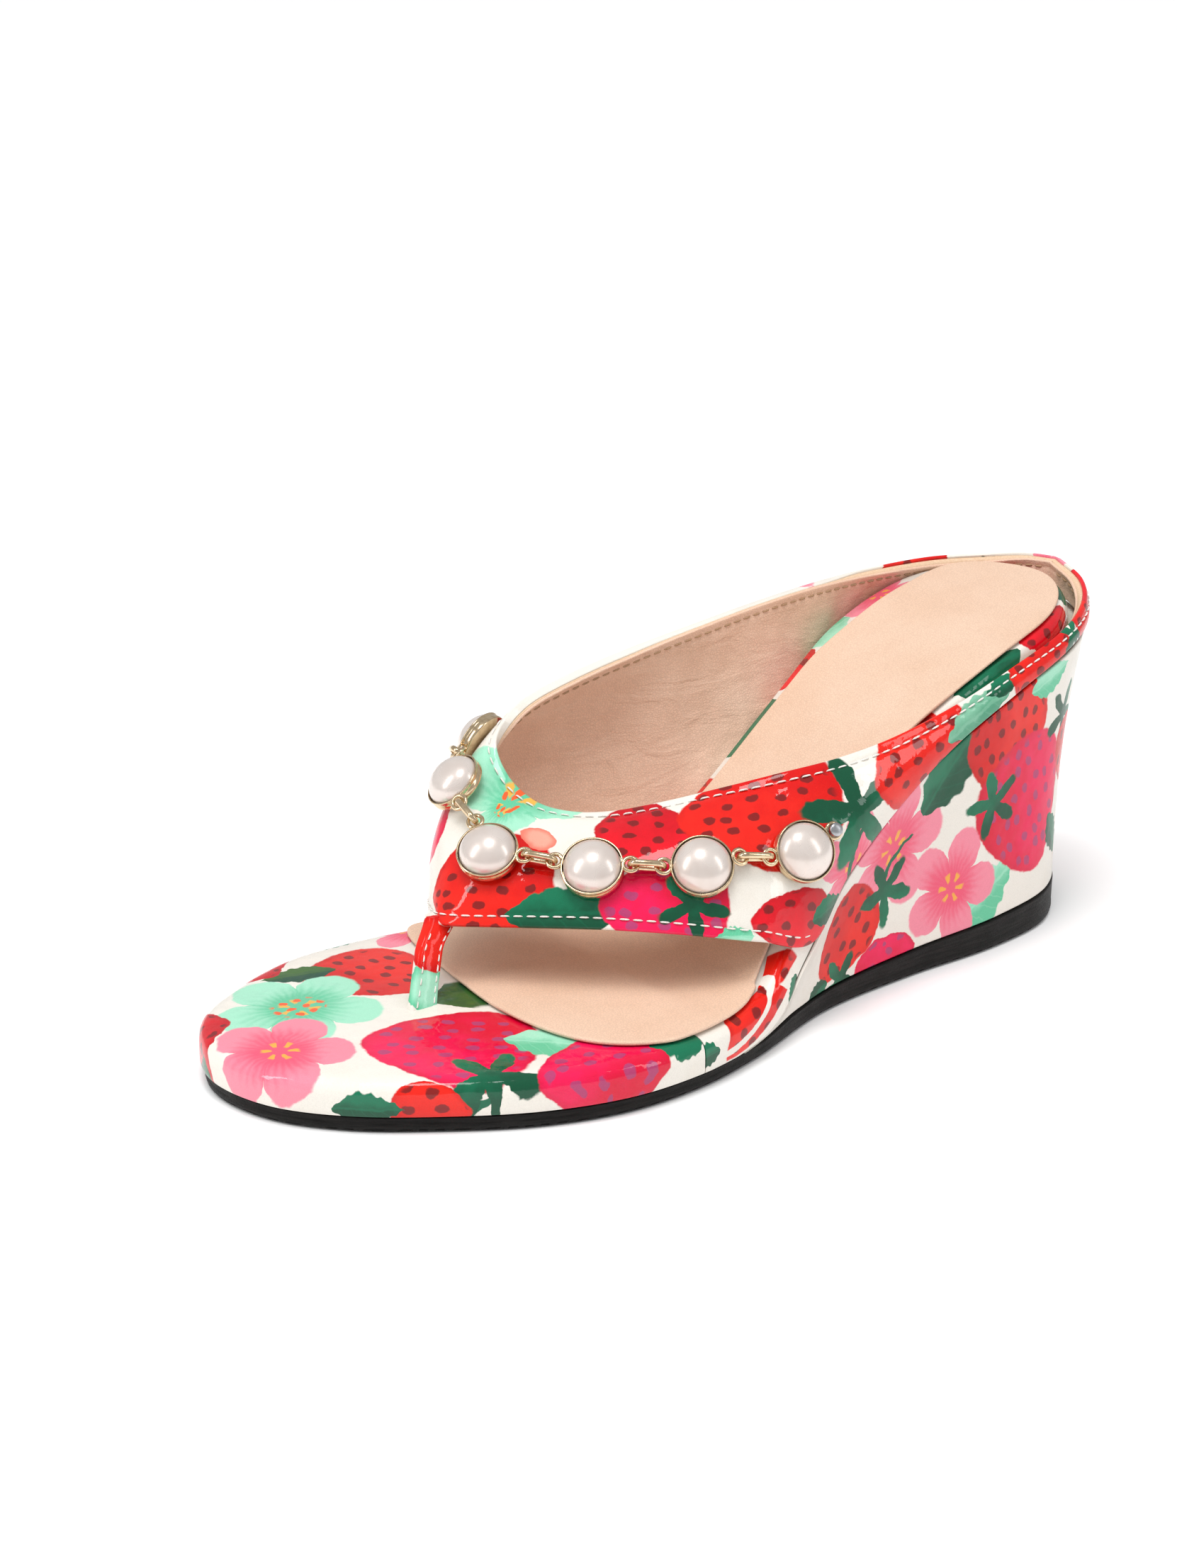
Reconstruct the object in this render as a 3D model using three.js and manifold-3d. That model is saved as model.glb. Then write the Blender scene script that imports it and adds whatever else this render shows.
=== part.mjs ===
// Wedge sandal with a toe post and a chain of pearls, left shoe.
// Millimetres. +X runs to the toe, +Y to the outer side of the foot, +Z up.
// The design frame has its zero at the back of the outsole, on the ground.

import * as THREE from 'three';
import { mergeVertices } from 'three/addons/utils/BufferGeometryUtils.js';
import Module from 'manifold-3d';

const wasm = await Module();
wasm.setup();

// ---------------------------------------------------------------- driving dimensions

const GAP = 0.3; // left between touching pieces
const OUTSOLE_TOE = 5; // outsole thickness under the forefoot
const OUTSOLE_HEEL = 9.5; // outsole thickness at the back of the heel
const OUTSOLE_TAPER_END = 110; // x where the outsole has thinned to its toe thickness
const OUTSOLE_EDGE_RADIUS = 1.6;

const COVER = 1.0; // printed covering material
const BOARD = 2.0; // insole board
const FOAM_TOP = 6.9; // top of the foam above the wedge line
const SOCK = 1.0; // insock leather
const TOE_TOP = 6.9; // top edge of the toe cover above the wedge line
const TOE_CROWN = 1.0; // how far the toe cover rises towards its middle
const TOE_COVER_BACK = 150; // x where the toe cover ends

const UPPER = 1.1; // printed upper
const COUNTER = 0.8; // heel counter
const LINING = 0.8; // upper lining
const WALL = UPPER + COUNTER + LINING + 2 * GAP; // whole wall round the heel

const POST_X = 195; // middle of the toe post where it enters the footbed
const POST_Y = 4.6;
const POST_WIDTH = 7; // along X
const POST_THICKNESS = 2.8; // along Y

const RAND_FRONT_OUTER = 114; // x where the outer rand meets the upper
const RAND_FRONT_INNER = 113;

const CUP_RADIUS = 7.2;
const PEARL_RADIUS = 6.6;
const EYELET_HOLE = 1.4; // radius of the hole through a cup's eyelet
const WIRE = 0.5; // radius of the wire of links and eyelets
const LINK_HALF_HEIGHT = 1.6;

// Edge of the outsole and edge of the footbed above it: the same places in the same order,
// from the toe tip along the outer side, round the heel and back along the inner side.
const OUTSOLE_EDGE = [
  [238, -5], [234, 8.5], [224, 21.5], [210, 32.5], [190, 44.5], [170, 50.5], [150, 50.5], [130, 46],
  [100, 35.5], [70, 32], [40, 31], [18, 26], [5, 14.5], [0, 0.5],
  [5, -18], [18, -28], [45, -27.5], [75, -21.5], [100, -21.4], [125, -30.2], [150, -39], [175, -44],
  [198, -44], [217, -37], [230, -28], [237, -16],
];
const FOOTBED_EDGE = [
  [239, -5], [235, 9], [225, 22], [210.5, 33.5], [190, 45.5], [170, 51.5], [150, 51.5], [130, 47.5],
  [99, 38.5], [70, 35.5], [39, 34.5], [15, 29], [0, 16], [-5.5, 1],
  [0.5, -20], [15, -31], [45, -30], [75, -21.5], [100, -20.6], [125.5, -29.8], [149.5, -39.5],
  [175.5, -45], [198, -45], [217, -38], [231, -28.5], [238, -16],
];

// Height of the wedge line, where wedge meets footbed, along x.
const WEDGE_LINE = [
  [-14, 77.6], [-2, 76.4], [30, 70.2], [65, 56.2], [95, 35.2], [112, 18.2], [125, 8], [140, 5.5],
  [152, 5.3], [260, 5.3],
];

// The upper in rows from the back seam along the outer side, over the vamp and back along
// the inner side: lower edge, top edge, and how far the middle bulges out.
const UPPER_ROWS = [
  [[-5.6, 1, 77], [-6.2, 1, 86.6], 0.8],
  [[-1.5, 14, 76.4], [-1.8, 13.5, 84.4], 0.8],
  [[7, 24, 75.6], [7, 22.5, 81.6], 0.9],
  [[22, 31.5, 72.7], [21, 28.8, 78], 1],
  [[42, 35, 66.8], [40, 32, 73.4], 1.2],
  [[62, 35.6, 57.9], [60, 33.2, 67.8], 1.6],
  [[80, 36.3, 46.6], [79, 32.6, 63.4], 2.4],
  [[97, 38.4, 34.4], [94, 29.8, 60.6], 4],
  [[110, 41.4, 22], [107, 24.5, 58.2], 6],
  [[126, 41.6, 26.2], [119, 16.8, 54.8], 6],
  [[141, 33.6, 29], [130, 9.6, 51.8], 5],
  [[156, 22.4, 30.4], [139, 2.8, 49.6], 4.5],
  [[170, 8.2, 29.8], [145, -5, 48.6], 4.5],
  [[180, -3, 29], [149.5, -12.5, 50], 5],
  [[180.5, -11, 27.6], [152, -20, 55], 4.6],
  [[174, -20.5, 26.2], [150, -27.2, 61.5], 5.6],
  [[161, -28.5, 24.6], [141, -31, 67.4], 7],
  [[143, -33, 23.4], [126, -32, 71.4], 7],
  [[123, -30.4, 23], [107, -31.6, 75], 6],
  [[106, -23, 25.2], [90, -30.4, 77.8], 4],
  [[84, -20.6, 43.8], [70, -29.6, 80.6], 2.8],
  [[62, -25.2, 57.9], [50, -29.6, 82.4], 1.8],
  [[38, -31.4, 68], [31, -29.6, 83.2], 1.2],
  [[16, -31.4, 73.8], [14, -26.4, 84], 1],
  [[3, -22.6, 76], [3, -18.8, 84.8], 0.9],
  [[-3.6, -10, 76.8], [-4, -9, 86], 0.8],
  [[-5.6, 0.6, 77], [-6.2, 0.6, 86.6], 0.8],
];

// Places of the pearls on the upper: the row, then the share of the way up from the lower edge.
const PEARL_PLACES = [
  [8.1, 0.52], [9.64, 0.41], [11.15, 0.39], [12.92, 0.45],
  [14.76, 0.7], [16.1, 0.73], [17.42, 0.66], [18.75, 0.63],
];

// ---------------------------------------------------------------- curves and surfaces

const V = (x, y, z) => new THREE.Vector3(x, y, z);
const ramp = (x, from, to) => THREE.MathUtils.smoothstep(x, from, to);
const mix = THREE.MathUtils.lerp;

// A smooth function through [x, y] nodes that never overshoots them.
function through(nodes) {
  const slope = (i) => (nodes[i + 1][1] - nodes[i][1]) / (nodes[i + 1][0] - nodes[i][0]);
  const tangents = nodes.map((node, i) => {
    if (i === 0) return slope(0);
    if (i === nodes.length - 1) return slope(i - 1);
    const before = slope(i - 1);
    const after = slope(i);
    return before * after <= 0 ? 0 : (2 * before * after) / (before + after);
  });
  return (x) => {
    let i = 0;
    while (i < nodes.length - 2 && x > nodes[i + 1][0]) i += 1;
    const width = nodes[i + 1][0] - nodes[i][0];
    const s = THREE.MathUtils.clamp((x - nodes[i][0]) / width, 0, 1);
    const rise = nodes[i][1] * (1 + 2 * s) * (1 - s) ** 2 + nodes[i + 1][1] * s * s * (3 - 2 * s);
    return rise + width * (tangents[i] * s * (1 - s) ** 2 - tangents[i + 1] * s * s * (1 - s));
  };
}

const wedgeLine = through(WEDGE_LINE);
const outsoleTop = (x) =>
  OUTSOLE_TOE + (OUTSOLE_HEEL - OUTSOLE_TOE) * THREE.MathUtils.clamp(1 - x / OUTSOLE_TAPER_END, 0, 1);

const closedCurve = (points) =>
  new THREE.CatmullRomCurve3(points.map(([x, y]) => V(x, y, 0)), true, 'centripetal');
const outsoleCurve = closedCurve(OUTSOLE_EDGE);
const footbedCurve = closedCurve(FOOTBED_EDGE);

// A point of a plan curve, moved in by inset. t may run below 0 or above 1.
function planPoint(curve, t, inset = 0) {
  const share = ((t % 1) + 1) % 1;
  const tangent = curve.getTangent(share);
  return curve.getPoint(share).add(V(-tangent.y, tangent.x, 0).multiplyScalar(inset));
}

// Where the footbed's edge crosses x on the outer side (t < 0.5) or the inner side.
function edgeShare(x, outerSide) {
  let low = outerSide ? 0 : 0.5;
  let high = outerSide ? 0.5 : 1;
  for (let i = 0; i < 40; i += 1) {
    const middle = (low + high) / 2;
    const beyond = footbedCurve.getPoint(middle).x > x;
    if (beyond === outerSide) low = middle;
    else high = middle;
  }
  return (low + high) / 2;
}

// The point over plan point p at a height above the wedge line, measured square to it.
function overWedge(p, height) {
  const slope = wedgeLine(p.x + 0.5) - wedgeLine(p.x - 0.5);
  const normal = V(-slope, 0, 1).normalize();
  return V(p.x, p.y, wedgeLine(p.x)).addScaledVector(normal, height);
}

const shares = (from, to, count) => Array.from({ length: count }, (_, i) => mix(from, to, i / (count - 1)));

// ---------------------------------------------------------------- closed bodies from point grids

function geometryOf(points, triangles) {
  const geometry = new THREE.BufferGeometry();
  const numbers = points.flatMap((p) => [p.x, p.y, p.z]);
  geometry.setAttribute('position', new THREE.Float32BufferAttribute(numbers, 3));
  geometry.setIndex(triangles.flat());
  return geometry;
}

const quad = (a, b, c, d) => [[a, b, c], [a, c, d]];

// Layers are rings of equal length, bottom first. Point i of a ring lies across from point n-1-i,
// so the top and bottom are closed by strips from side to side.
function slab(layers) {
  const n = layers[0].length;
  const top = (layers.length - 1) * n;
  const triangles = [];
  for (let layer = 0; layer < layers.length - 1; layer += 1) {
    for (let i = 0; i < n; i += 1) {
      const a = layer * n + i;
      const b = layer * n + ((i + 1) % n);
      triangles.push(...quad(a, b, b + n, a + n));
    }
  }
  for (let i = 0; i < n / 2 - 1; i += 1) {
    triangles.push(...quad(i, n - 1 - i, n - 2 - i, i + 1));
    triangles.push(...quad(top + i, top + i + 1, top + n - 2 - i, top + n - 1 - i));
  }
  return geometryOf(layers.flat(), triangles);
}

// A sheet with thickness between two grids of columns. Where zipped, the last column is closed
// on itself, as round the toe tip.
function shell(outer, inner, zipped = false) {
  const columns = outer.length;
  const rows = outer[0].length;
  const points = [...outer.flat(), ...inner.flat()];
  const out = (i, j) => i * rows + j;
  const back = (i, j) => columns * rows + i * rows + j;
  const triangles = [];
  for (let i = 0; i < columns - 1; i += 1) {
    for (let j = 0; j < rows - 1; j += 1) {
      triangles.push(...quad(out(i, j), out(i + 1, j), out(i + 1, j + 1), out(i, j + 1)));
      triangles.push(...quad(back(i, j), back(i, j + 1), back(i + 1, j + 1), back(i + 1, j)));
    }
    triangles.push(...quad(out(i, 0), back(i, 0), back(i + 1, 0), out(i + 1, 0)));
    triangles.push(...quad(out(i, rows - 1), out(i + 1, rows - 1), back(i + 1, rows - 1), back(i, rows - 1)));
  }
  for (let j = 0; j < rows - 1; j += 1) {
    triangles.push(...quad(out(0, j), out(0, j + 1), back(0, j + 1), back(0, j)));
    if (!zipped) {
      const end = columns - 1;
      triangles.push(...quad(out(end, j), back(end, j), back(end, j + 1), out(end, j + 1)));
    }
  }
  if (zipped) {
    const end = columns - 1;
    for (let j = 0; j < rows / 2 - 1; j += 1) {
      triangles.push(...quad(out(end, j), out(end, rows - 1 - j), out(end, rows - 2 - j), out(end, j + 1)));
      triangles.push(...quad(back(end, j), back(end, j + 1), back(end, rows - 2 - j), back(end, rows - 1 - j)));
    }
    triangles.push(...quad(out(end, 0), back(end, 0), back(end, rows - 1), out(end, rows - 1)));
  }
  return geometryOf(points, triangles);
}

// A bar through equal rings of points, its two ends closed, or its last ring joined to its first.
function loft(rings, closed = false) {
  const n = rings[0].length;
  const triangles = [];
  const spans = closed ? rings.length : rings.length - 1;
  for (let k = 0; k < spans; k += 1) {
    for (let i = 0; i < n; i += 1) {
      const a = k * n + i;
      const b = k * n + ((i + 1) % n);
      const next = ((k + 1) % rings.length) * n;
      triangles.push(...quad(a, b, next + ((i + 1) % n), next + i));
    }
  }
  const last = (rings.length - 1) * n;
  for (let i = 1; i < n - 1 && !closed; i += 1) {
    triangles.push([0, i + 1, i]);
    triangles.push([last, last + i, last + i + 1]);
  }
  return geometryOf(rings.flat(), triangles);
}

// A round wire along a closed flat path. The path turns counter-clockwise seen from its normal.
function wireLoop(path, normal, radius, sides = 6) {
  const rings = path.map((p, k) => {
    const ahead = path[(k + 1) % path.length];
    const behind = path[(k + path.length - 1) % path.length];
    const tangent = ahead.clone().sub(behind).normalize();
    const side = tangent.clone().cross(normal);
    return Array.from({ length: sides }, (_, i) => {
      const angle = (2 * Math.PI * i) / sides;
      return p
        .clone()
        .addScaledVector(side, radius * Math.cos(angle))
        .addScaledVector(normal, -radius * Math.sin(angle));
    });
  });
  return loft(rings, true);
}

// A turned body from [radius, height] points, its axis along +Z.
function turned(profile, segments = 24) {
  const geometry = new THREE.LatheGeometry(profile.map(([r, z]) => new THREE.Vector2(r, z)), segments);
  return geometry.rotateX(Math.PI / 2);
}

const box = (length, width, height) => new THREE.BoxGeometry(length, width, height);

// ---------------------------------------------------------------- joins and cuts

function toSolid(geometry) {
  const bare = geometry.clone();
  bare.deleteAttribute('normal');
  bare.deleteAttribute('uv');
  const merged = mergeVertices(bare, 1e-4);
  const corners = merged.index.array;
  const kept = [];
  for (let i = 0; i < corners.length; i += 3) {
    const [a, b, c] = [corners[i], corners[i + 1], corners[i + 2]];
    if (a !== b && b !== c && c !== a) kept.push(a, b, c);
  }
  return new wasm.Manifold(
    new wasm.Mesh({
      numProp: 3,
      vertProperties: new Float32Array(merged.attributes.position.array),
      triVerts: new Uint32Array(kept),
    }),
  );
}

function toGeometry(solid) {
  const mesh = solid.getMesh();
  const geometry = new THREE.BufferGeometry();
  geometry.setAttribute('position', new THREE.BufferAttribute(mesh.vertProperties, 3));
  geometry.setIndex(new THREE.BufferAttribute(mesh.triVerts, 1));
  return geometry;
}

function cut(geometry, tools) {
  return toGeometry(tools.reduce((solid, tool) => solid.subtract(toSolid(tool)), toSolid(geometry)));
}

function join(geometry, others) {
  return toGeometry(others.reduce((solid, other) => solid.add(toSolid(other)), toSolid(geometry)));
}

// ---------------------------------------------------------------- materials and the group

const finish = (color, roughness, metalness = 0) =>
  new THREE.MeshStandardMaterial({ color, roughness, metalness, side: THREE.FrontSide });

const print = finish('#e9dccb', 0.15);
const printAccent = finish('#d8323a', 0.15);
const leather = finish('#e3bfa0', 0.6);
const rubber = finish('#1c1a19', 0.55);
const eva = finish('#d9d4c8', 0.9);
const fibreboard = finish('#b39a76', 0.85);
const foam = finish('#efe6cf', 0.95);
const steel = finish('#9a9ea3', 0.35, 1);
const webbing = finish('#e8e4da', 0.9);
const pearl = finish('#f1e9e2', 0.2);
const gold = finish('#d9c3a0', 0.25, 1);

const sandal = new THREE.Group();

function piece(name, geometry, material) {
  const mesh = new THREE.Mesh(geometry, material);
  mesh.name = name;
  sandal.add(mesh);
}

// ---------------------------------------------------------------- outsole and wedge

const RIM_POINTS = 60; // points round a full layer
const rimShares = shares(0.5 / RIM_POINTS, 1 - 0.5 / RIM_POINTS, RIM_POINTS);

const outsoleRing = (inset, height) =>
  rimShares.map((t) => {
    const p = planPoint(outsoleCurve, t, inset);
    return V(p.x, p.y, height(p.x));
  });

const outsoleBody = slab([
  outsoleRing(OUTSOLE_EDGE_RADIUS, () => 0),
  outsoleRing(0.3 * OUTSOLE_EDGE_RADIUS, () => 0.3 * OUTSOLE_EDGE_RADIUS),
  outsoleRing(0, () => OUTSOLE_EDGE_RADIUS),
  outsoleRing(0, outsoleTop),
]);

// The wedge's side between outsole and footbed: share 0 at the outsole, 1 at the wedge line.
const WEDGE_FRONT = 121;
const WEDGE_HOLLOW = 1.6; // how far the side curves in at half height
const WEDGE_COLUMNS = 44;
const WEDGE_SHARES = [0, 0.25, 0.5, 0.75, 1];
const wedgeTs = shares(edgeShare(WEDGE_FRONT, true), edgeShare(WEDGE_FRONT, false), WEDGE_COLUMNS);
function wedgeSide(t, share, inset) {
  const low = planPoint(outsoleCurve, t, inset);
  const high = planPoint(footbedCurve, t, inset);
  const bottom = V(low.x, low.y, outsoleTop(low.x) + GAP);
  const top = V(high.x, high.y, wedgeLine(high.x) - GAP);
  const point = bottom.lerp(top, share);
  const hollow = WEDGE_HOLLOW * Math.sin(Math.PI * share) * (1 - ramp(point.x, 70, WEDGE_FRONT));
  const tangent = footbedCurve.getTangent(((t % 1) + 1) % 1);
  return point.addScaledVector(V(-tangent.y, tangent.x, 0), hollow);
}

const wedgeGrid = (inset) => wedgeTs.map((t) => WEDGE_SHARES.map((share) => wedgeSide(t, share, inset)));
piece('wedge_cover', shell(wedgeGrid(0), wedgeGrid(COVER)), print);

const wedgeBody = slab(WEDGE_SHARES.map((share) => wedgeTs.map((t) => wedgeSide(t, share, COVER + GAP))));

// ---------------------------------------------------------------- footbed: board, foam, insock

// 0 where the upper's wall stands on the footbed's edge, 1 where the rand or toe cover wraps it.
const wrapped = (p) => ramp(p.x, 108, 120);
const underCover = (p) => ramp(p.x, TOE_COVER_BACK - 10, TOE_COVER_BACK - 4);
const WALL_LEAN = 1.4; // how far the upper's wall leans in over the footbed

// A ring of the footbed, with its inset and height behind the wall and where wrapped.
function footbedRing(behindWall, whereWrapped) {
  return rimShares.map((t) => {
    const edge = planPoint(footbedCurve, t);
    const share = wrapped(edge);
    const ahead = (whereWrapped[3] ?? 0) * ramp(edge.x, 120, 132);
    const heelShare = ramp(edge.x, 0, 22) * (1 - 0.5 * ramp(edge.x, 45, 65));
    const margin = t > 0.5 ? (behindWall[2] ?? 0) * heelShare : 0;
    const inset = mix(behindWall[0] + margin, whereWrapped[0] + ahead, share);
    const p = planPoint(footbedCurve, t, inset);
    const height = mix(behindWall[1], whereWrapped[1], share);
    return overWedge(p, height + mix(0, whereWrapped[2] ?? 0, underCover(p)));
  });
}

const WALL_INSET = WALL + GAP + 0.6;
const WRAP_INSET = COVER + GAP;
const boardBody = slab([
  footbedRing([WALL_INSET, GAP], [WRAP_INSET, GAP]),
  footbedRing([WALL_INSET, GAP + BOARD], [WRAP_INSET, GAP + BOARD]),
]);

const COVER_DROP = -COVER - GAP; // the foam is lower under the toe cover
const foamBody = slab([
  footbedRing([WALL_INSET, BOARD + 2 * GAP], [WRAP_INSET, BOARD + 2 * GAP]),
  footbedRing([WALL_INSET, 4], [WRAP_INSET, 4]),
  footbedRing([WALL_INSET + 0.6, 5.2], [WRAP_INSET + 1.2, 4.4]),
  footbedRing([WALL_INSET + WALL_LEAN, FOAM_TOP], [4, FOAM_TOP, COVER_DROP]),
  footbedRing([14, FOAM_TOP], [14, FOAM_TOP, COVER_DROP + TOE_CROWN - 0.2]),
]);

// The insock ends in a rounded front edge.
const SOCK_INSET = 5;
const SOCK_AHEAD = -2.5; // nearer the footbed's edge ahead of the upper
const SOCK_INNER_MARGIN = 5; // printed margin beside the insock at the heel, on the inner side
const SOCK_BACK_INSET = WALL_INSET + WALL_LEAN + 0.4;
const sockRing = (height) =>
  footbedRing([SOCK_BACK_INSET, height, SOCK_INNER_MARGIN], [SOCK_INSET, height, 0.3, SOCK_AHEAD]);
const sockMiddle = (height) => footbedRing([14, height], [14, height, TOE_CROWN + 0.1]);
const SOCK_UNDERSIDE = FOAM_TOP + GAP + 0.4;
const sockBody = slab([
  sockMiddle(SOCK_UNDERSIDE),
  sockRing(SOCK_UNDERSIDE),
  sockRing(SOCK_UNDERSIDE + SOCK),
  sockMiddle(SOCK_UNDERSIDE + SOCK),
]);
const SOCK_FRONT = [
  [148, -60], [160, -45.5], [167.5, -41], [171.5, -33], [174.3, -20], [177, -5],
  [178.8, 10], [177.8, 24], [174, 36], [167, 44.5], [157, 50], [142, 60],
];
const aheadOfSock = new THREE.Shape([
  ...new THREE.SplineCurve(SOCK_FRONT.map(([x, y]) => new THREE.Vector2(x, y))).getPoints(24),
  new THREE.Vector2(260, 60),
  new THREE.Vector2(260, -60),
]);
const sockCutter = new THREE.ExtrudeGeometry(aheadOfSock, { depth: 60, bevelEnabled: false });
piece('sock_lining', cut(sockBody, [sockCutter]), leather);

// ---------------------------------------------------------------- toe cover and rands

// Section of the covering at the footbed's edge: inset and height above the wedge line.
const COVER_SECTION = [[0, 0.1], [0, 2.6], [0.2, 4.6], [1.1, 6.1], [2.8, TOE_TOP], [6, TOE_TOP + 0.25]];
const COVER_LINING = [
  [COVER, 0.1], [COVER, 2.6], [COVER, 4.4], [COVER + 0.8, 5.3], [3, TOE_TOP - COVER],
  [6, TOE_TOP + 0.25 - COVER],
];

const coverPoint = (t, [inset, height]) => overWedge(planPoint(footbedCurve, t, inset), height);

const TOE_SECTION = [...COVER_SECTION, [15, TOE_TOP + TOE_CROWN]];
const TOE_LINING = [...COVER_LINING, [15, TOE_TOP + TOE_CROWN - COVER]];
const TOE_COLUMNS = 30;
const toeFrom = edgeShare(TOE_COVER_BACK, false) - 1;
const toeTo = edgeShare(TOE_COVER_BACK, true);
function toeGrid(section) {
  const across = [];
  const count = 2 * TOE_COLUMNS;
  const ts = shares(toeFrom, toeTo, count);
  for (let k = 0; k < TOE_COLUMNS; k += 1) {
    const innerHalf = section.map((place) => coverPoint(ts[k], place));
    const outerHalf = section.map((place) => coverPoint(ts[count - 1 - k], place));
    across.push([...innerHalf, ...outerHalf.reverse()]);
  }
  return across;
}
const toeCoverBody = shell(toeGrid(TOE_SECTION), toeGrid(TOE_LINING), true);

function rand(name, from, to) {
  const ts = shares(from, to, 10);
  const grid = (section) => ts.map((t) => section.map((place) => coverPoint(t, place)));
  const body = shell(grid(COVER_SECTION.slice(0, -1)), grid(COVER_LINING.slice(0, -1)));
  piece(name, body, printAccent);
}

// ---------------------------------------------------------------- upper, lining and counter

const rowCurve = (pick) =>
  new THREE.CatmullRomCurve3(UPPER_ROWS.map((row) => V(...pick(row))), false, 'catmullrom', 0.5);
const lowerEdge = rowCurve((row) => row[0]);
const topEdge = rowCurve((row) => row[1]);
const bulgeAt = through(UPPER_ROWS.map((row, i) => [i, row[2]]));
const LAST_ROW = UPPER_ROWS.length - 1;

// The outer face of the upper: row counts along UPPER_ROWS, up runs from 0 to 1.
function upperFace(row, up) {
  const u = THREE.MathUtils.clamp(row / LAST_ROW, 0, 1);
  const low = lowerEdge.getPoint(u);
  const high = topEdge.getPoint(u);
  const along = lowerEdge.getTangent(u).add(topEdge.getTangent(u)).normalize();
  const outward = high.clone().sub(low).cross(along).normalize();
  return low.lerp(high, up).addScaledVector(outward, 4 * bulgeAt(row) * up * (1 - up));
}

function upperNormal(row, up) {
  const step = 0.02;
  const r0 = Math.max(row - step, 0);
  const r1 = Math.min(row + step, LAST_ROW);
  const along = upperFace(r1, up).sub(upperFace(r0, up));
  const rise = upperFace(row, Math.min(up + step, 1)).sub(upperFace(row, Math.max(up - step, 0)));
  return rise.cross(along).normalize();
}

const upperAt = (row, up, depth) => upperFace(row, up).addScaledVector(upperNormal(row, up), -depth);

// The wall is thinner over the vamp, where it has no counter.
const COUNTER_ROW = 4.2; // the counter reaches this many rows from the back seam
const counterShare = (row) => 1 - ramp(Math.min(row, LAST_ROW - row), COUNTER_ROW, COUNTER_ROW + 0.8);
const UPPER_COLUMNS = 61;
const UPS = [0, 0.16, 0.36, 0.56, 0.76, 0.9, 1];
const wallGrid = (depth, rows, ups) => rows.map((row) => ups.map((up) => upperAt(row, up, depth(row))));

const allRows = shares(LAST_ROW, 0, UPPER_COLUMNS);
const shellBack = (row) => UPPER + (COUNTER + GAP) * (1 - counterShare(row));
const upperBody = shell(wallGrid(() => 0, allRows, UPS), wallGrid(shellBack, allRows, UPS));

const LINING_DEPTH = UPPER + COUNTER + 2 * GAP;
const liningUps = UPS.map((up) => mix(0.02, 0.985, up));
const liningBody = shell(
  wallGrid(() => LINING_DEPTH, allRows, liningUps),
  wallGrid(() => LINING_DEPTH + LINING, allRows, liningUps),
);

const COUNTER_DEPTH = UPPER + GAP;
const counterUps = [0.08, 0.36, 0.64, 0.88];
const counterRows = [...shares(COUNTER_ROW, 0.02, 10), ...shares(LAST_ROW - 0.02, LAST_ROW - COUNTER_ROW, 10)];
const counterBody = shell(
  wallGrid(() => COUNTER_DEPTH, counterRows, counterUps),
  wallGrid(() => COUNTER_DEPTH + COUNTER, counterRows, counterUps),
);
piece('heel_counter', counterBody, fibreboard);
piece('upper_lining', liningBody, leather);

// ---------------------------------------------------------------- shank, rivets and nails

// A flat strip that follows the wedge line, from low to high above it.
function strip(from, to, y, width, low, high) {
  const rings = shares(from, to, 9).map((x) => [
    overWedge(V(x, y - width / 2, 0), low),
    overWedge(V(x, y + width / 2, 0), low),
    overWedge(V(x, y + width / 2, 0), high),
    overWedge(V(x, y - width / 2, 0), high),
  ]);
  return loft(rings);
}

const SHANK_FROM = 40;
const SHANK_TO = 104;
const SHANK_Y = 4;
const SHANK_WIDTH = 10;
const SHANK_THICKNESS = 1.4;
const SHANK_RIVET_XS = [48, 96];
const shankBody = strip(SHANK_FROM, SHANK_TO, SHANK_Y, SHANK_WIDTH, -SHANK_THICKNESS, 0);
const shankGroove = strip(
  SHANK_FROM - GAP, SHANK_TO + GAP, SHANK_Y, SHANK_WIDTH + 2 * GAP, -SHANK_THICKNESS - GAP, 2,
);

// Puts a turned body square on the wedge line at (x, y), its zero at a height above the line.
function standOnWedge(geometry, x, y, height) {
  const foot = overWedge(V(x, y, 0), height);
  const up = overWedge(V(x, y, 0), height + 1).sub(foot);
  const turn = new THREE.Quaternion().setFromUnitVectors(V(0, 0, 1), up);
  return geometry.clone().applyQuaternion(turn).translate(foot.x, foot.y, foot.z);
}

// Fasteners hang down from the board's top face: [radius, height] with 0 at the top.
const rivetProfile = (gap) => [
  [0, -5.4 - gap], [2.2 + gap, -5.4 - gap], [2.2 + gap, -4.6 + gap], [1.3 + gap, -4.6 + gap],
  [1.3 + gap, -0.8 - gap], [2.4 + gap, -0.8 - gap], [2.4 + gap, gap], [0, gap],
];
const nailProfile = (gap) => [
  [0, -18 - gap], [0.8 + gap, -16.5 - gap], [0.8 + gap, -0.8 - gap], [2.2 + gap, -0.8 - gap],
  [2.2 + gap, gap], [0, gap],
];
const BOARD_TOP = GAP + BOARD;
const rivetAt = (x, gap) => standOnWedge(turned(rivetProfile(gap), 16), x, SHANK_Y, BOARD_TOP);
const HEEL_NAILS = [[12, -8], [12, 10], [30, -12], [30, 14]];
const nailAt = ([x, y], gap) => standOnWedge(turned(nailProfile(gap), 12), x, y, BOARD_TOP);
const rivetHoles = SHANK_RIVET_XS.map((x) => rivetAt(x, GAP));
const nailHoles = HEEL_NAILS.map((place) => nailAt(place, GAP));

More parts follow.
